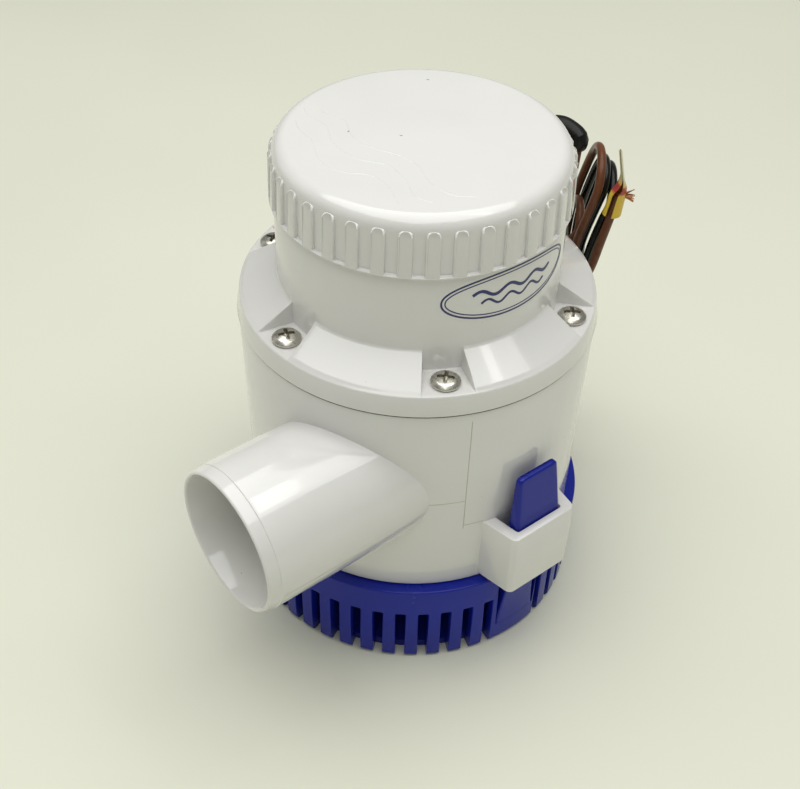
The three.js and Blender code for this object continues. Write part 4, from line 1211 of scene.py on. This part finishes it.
# a full oval with blunt ends, drawn in by an even inset
def ovalLine(half, inset, count=120):
    power = label["blunt"]
    turns = [2 * math.pi * k / count for k in range(count)]
    raw = [(half[0] * math.copysign(abs(math.cos(a)) ** (2 / power), math.cos(a)),
            half[1] * math.copysign(abs(math.sin(a)) ** (2 / power), math.sin(a))) for a in turns]
    return offsetOutline(raw, inset) if inset else raw


def merged(name, parts):
    points, faces = [], []
    for some, sides in parts:
        faces += [[k + len(points) for k in side] for side in sides]
        points += some
    return addMesh(name, points, faces)


def labelFilm():
    outline = ovalLine(label["film"], 0)
    rings = [0, 0.2, 0.4, 0.6, 0.8, 0.95, 1.0]
    points, faces = [onNeck(0, 0, label["proud"])], []
    for share in rings[1:]:
        height = label["proud"] - (0.03 if share == 1 else 0)
        points += [onNeck(x * share, y * share, height) for x, y in outline]
    points += [onNeck(x, y, -0.1) for x, y in outline]
    count = len(outline)
    faces += [[0, 1 + k, 1 + (k + 1) % count] for k in range(count)]
    for ring in range(len(rings) - 1):
        for k in range(count):
            a, b = 1 + ring * count + k, 1 + ring * count + (k + 1) % count
            faces.append([a, b, b + count, a + count])
    faces.append([len(points) - count + k for k in range(count)][::-1])
    return smooth(addMesh("labelFilm", points, faces), 50)


def labelPrint():
    height, steps = label["proud"] + label["ink"], 80
    parts = [printedLine(ovalLine(label["half"], inset), width, height, True)
             for inset, width in label["lines"]]
    for rise, swing, reach, width in label["waves"]:
        wave = [(-reach + 2 * reach * k / steps, rise + swing * math.sin(6 * math.pi * k / steps))
                for k in range(steps + 1)]
        parts.append(printedLine(wave, width, height, False))
    return smooth(merged("labelPrint", parts), 50)


filmMaterial = mouldedPlastic("labelFilm", (0.80, 0.80, 0.78), (0.77, 0.77, 0.745), (0.6, 0.6, 0.58), 0.2,
                              0.03)
dress(labelFilm(), filmMaterial, "pump", slot="white_plastic")
dress(labelPrint(), navyInk, "pump", slot="blue_plastic")
print("label done")

# cable gland behind the neck
glandProfile = rounded([(0, 43), (4, 43), (4, 47.75), (6.6, 47.75, 0.4), (6.6, 50.2, 0.8), (5.2, 50.7, 0.6),
                        (4.9, 53), (4.3, 58, 0.4), (0, 58)], 3)


def outOfNeck(x, y, z):
    ax, ay = onCircle(1, gland["azimuth"])
    return z * ax - y * ay, z * ay + y * ax, gland["z"] - x


dress(smooth(turned("cableGland", glandProfile, 48, outOfNeck)), blackRubber, "pump", "cable_gland",
      slot="black_rubber")

# impeller: hub, disc and six swept blades
impeller = {"r": 38, "hubR": 8, "bore": 4.35, "low": 53.6, "disc": (73, 76), "high": 80, "bladeLow": 48.6,
            "blades": 6, "eyeR": 11}


def impellerWheel():
    w = impeller
    discLow, discHigh = w["disc"]
    hub = turned("impellerWheel", rounded([
        (w["bore"], w["low"]), (w["hubR"], w["low"], 0.8), (w["hubR"], discLow, 2.0), (w["r"], discLow, 0.5),
        (w["r"], discHigh, 0.6), (w["hubR"], discHigh, 1.2), (w["hubR"], w["high"], 0.6),
        (w["bore"], w["high"])], 4), 96)
    front = [(7 + 27 * k / 16, -1.3 - 15.6 * (k / 16) ** 2.1) for k in range(17)]
    back = [(x + 1.4 * k / 16, y + 2.5 + 0.9 * k / 16) for k, (x, y) in enumerate(front)]
    blade = prism("blade", front + back[::-1],
                  [(w["bladeLow"], 0.45), (w["bladeLow"] + 0.5, 0), (discLow + 1, 0)])
    eye = turned("eyeClearance", [(0, 40), (w["eyeR"], 40), (w["eyeR"], w["low"] + 3), (0, w["low"] + 3)], 48)
    carve(blade, eye)
    repeat("blades", joinedRound, blade, blackPlastic, hub, w["blades"])
    return smooth(hub)


dress(impellerWheel(), blackPlastic, "rotor", "impeller", slot="black_plastic")

# the motor's own pieces keep their shape and get a worked finish
keptNodes = {
    "blackRubber": (blackRubber, ("flange_o_ring", "cap_o_ring", "shaft_seal")),
    "stainless": (stainless, ("lower_bearing", "upper_bearing", "shaft")),
    "steelSheet": (steelSheet, ("motor_can", "motor_cover", "brush_spring_1", "brush_spring_2")),
    "ferrite": (ferrite, ("field_magnet_1", "field_magnet_2")),
    "fibreBoard": (fibreBoard, ("brush_plate",)),
    "brass": (brass, ("brush_holder_1", "brush_holder_2", "impeller_nut")),
    "carbon": (carbon, ("brush_1", "brush_2")),
    "laminations": (laminations, ("armature_core",)),
    "copper": (copper, ("armature_windings", "commutator")),
    "brownSheath": (brownSheath, ("motor_lead_brown",)),
    "blackSheath": (blackSheath, ("motor_lead_black",)),
}
for material, names in keptNodes.values():
    for name in names:
        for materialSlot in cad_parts[name].material_slots:
            materialSlot.material = material
print("inner pieces finished")

# studio: pale floor, a broad soft light above, a narrow lamp behind, a weak fill at the side and a pale sky
floor = {"half": 3.0, "colour": (0.76, 0.77, 0.65), "tones": ((0.745, 0.755, 0.635), (0.775, 0.785, 0.665))}
sky = {"colour": (0.93, 0.94, 0.88), "strength": 0.28}
floorPiece = addMesh("floor", [(-1, -1, 0), (1, -1, 0), (1, 1, 0), (-1, 1, 0)], [(0, 1, 2, 3)], floor["half"])
floorMaterial, floorTree, floorShader = addMaterial("floorPaper", floor["colour"], 0.7)
floorTone = ramp(floorTree, noise(floorTree, 5, 2), ((0.3, floor["tones"][0]), (0.7, floor["tones"][1])))
floorTree.links.new(floorTone, floorShader.inputs["Base Color"])
floorPiece.data.materials.append(floorMaterial)
floorPiece.location.z = -0.0001

lights = (
    {"name": "overhead", "at": (0.0, 0.0, 1.25), "size": (1.5, 1.5), "power": 16.6,
     "colour": (1.0, 0.995, 0.975)},
    {"name": "lamp", "at": (0.30, 0.36, 1.22), "size": (0.09, 0.5), "power": 0.5,
     "colour": (1.0, 0.99, 0.96)},
    {"name": "fill", "at": (-1.0, -0.7, 0.6), "size": (0.8, 0.8), "power": 0.6,
     "colour": (1.0, 1.0, 0.98)},
)
for light in lights:
    data = bpy.data.lights.new(light["name"], "AREA")
    data.shape = "RECTANGLE"
    data.size, data.size_y = light["size"]
    data.energy = light["power"]
    data.color = light["colour"]
    lamp = bpy.data.objects.new(light["name"], data)
    lamp.location = light["at"]
    lamp.rotation_mode = "QUATERNION"
    lamp.rotation_quaternion = (Vector((0, lamp.location.y, 0.08)) - lamp.location).to_track_quat("-Z", "Y")
    bpy.context.collection.objects.link(lamp)
world = bpy.data.worlds.new("studio")
bpy.context.scene.world = world
world.use_nodes = True
world.node_tree.nodes["Background"].inputs["Color"].default_value = (*sky["colour"], 1)
world.node_tree.nodes["Background"].inputs["Strength"].default_value = sky["strength"]
bpy.context.scene.view_settings.view_transform = "Standard"
print("studio lit")
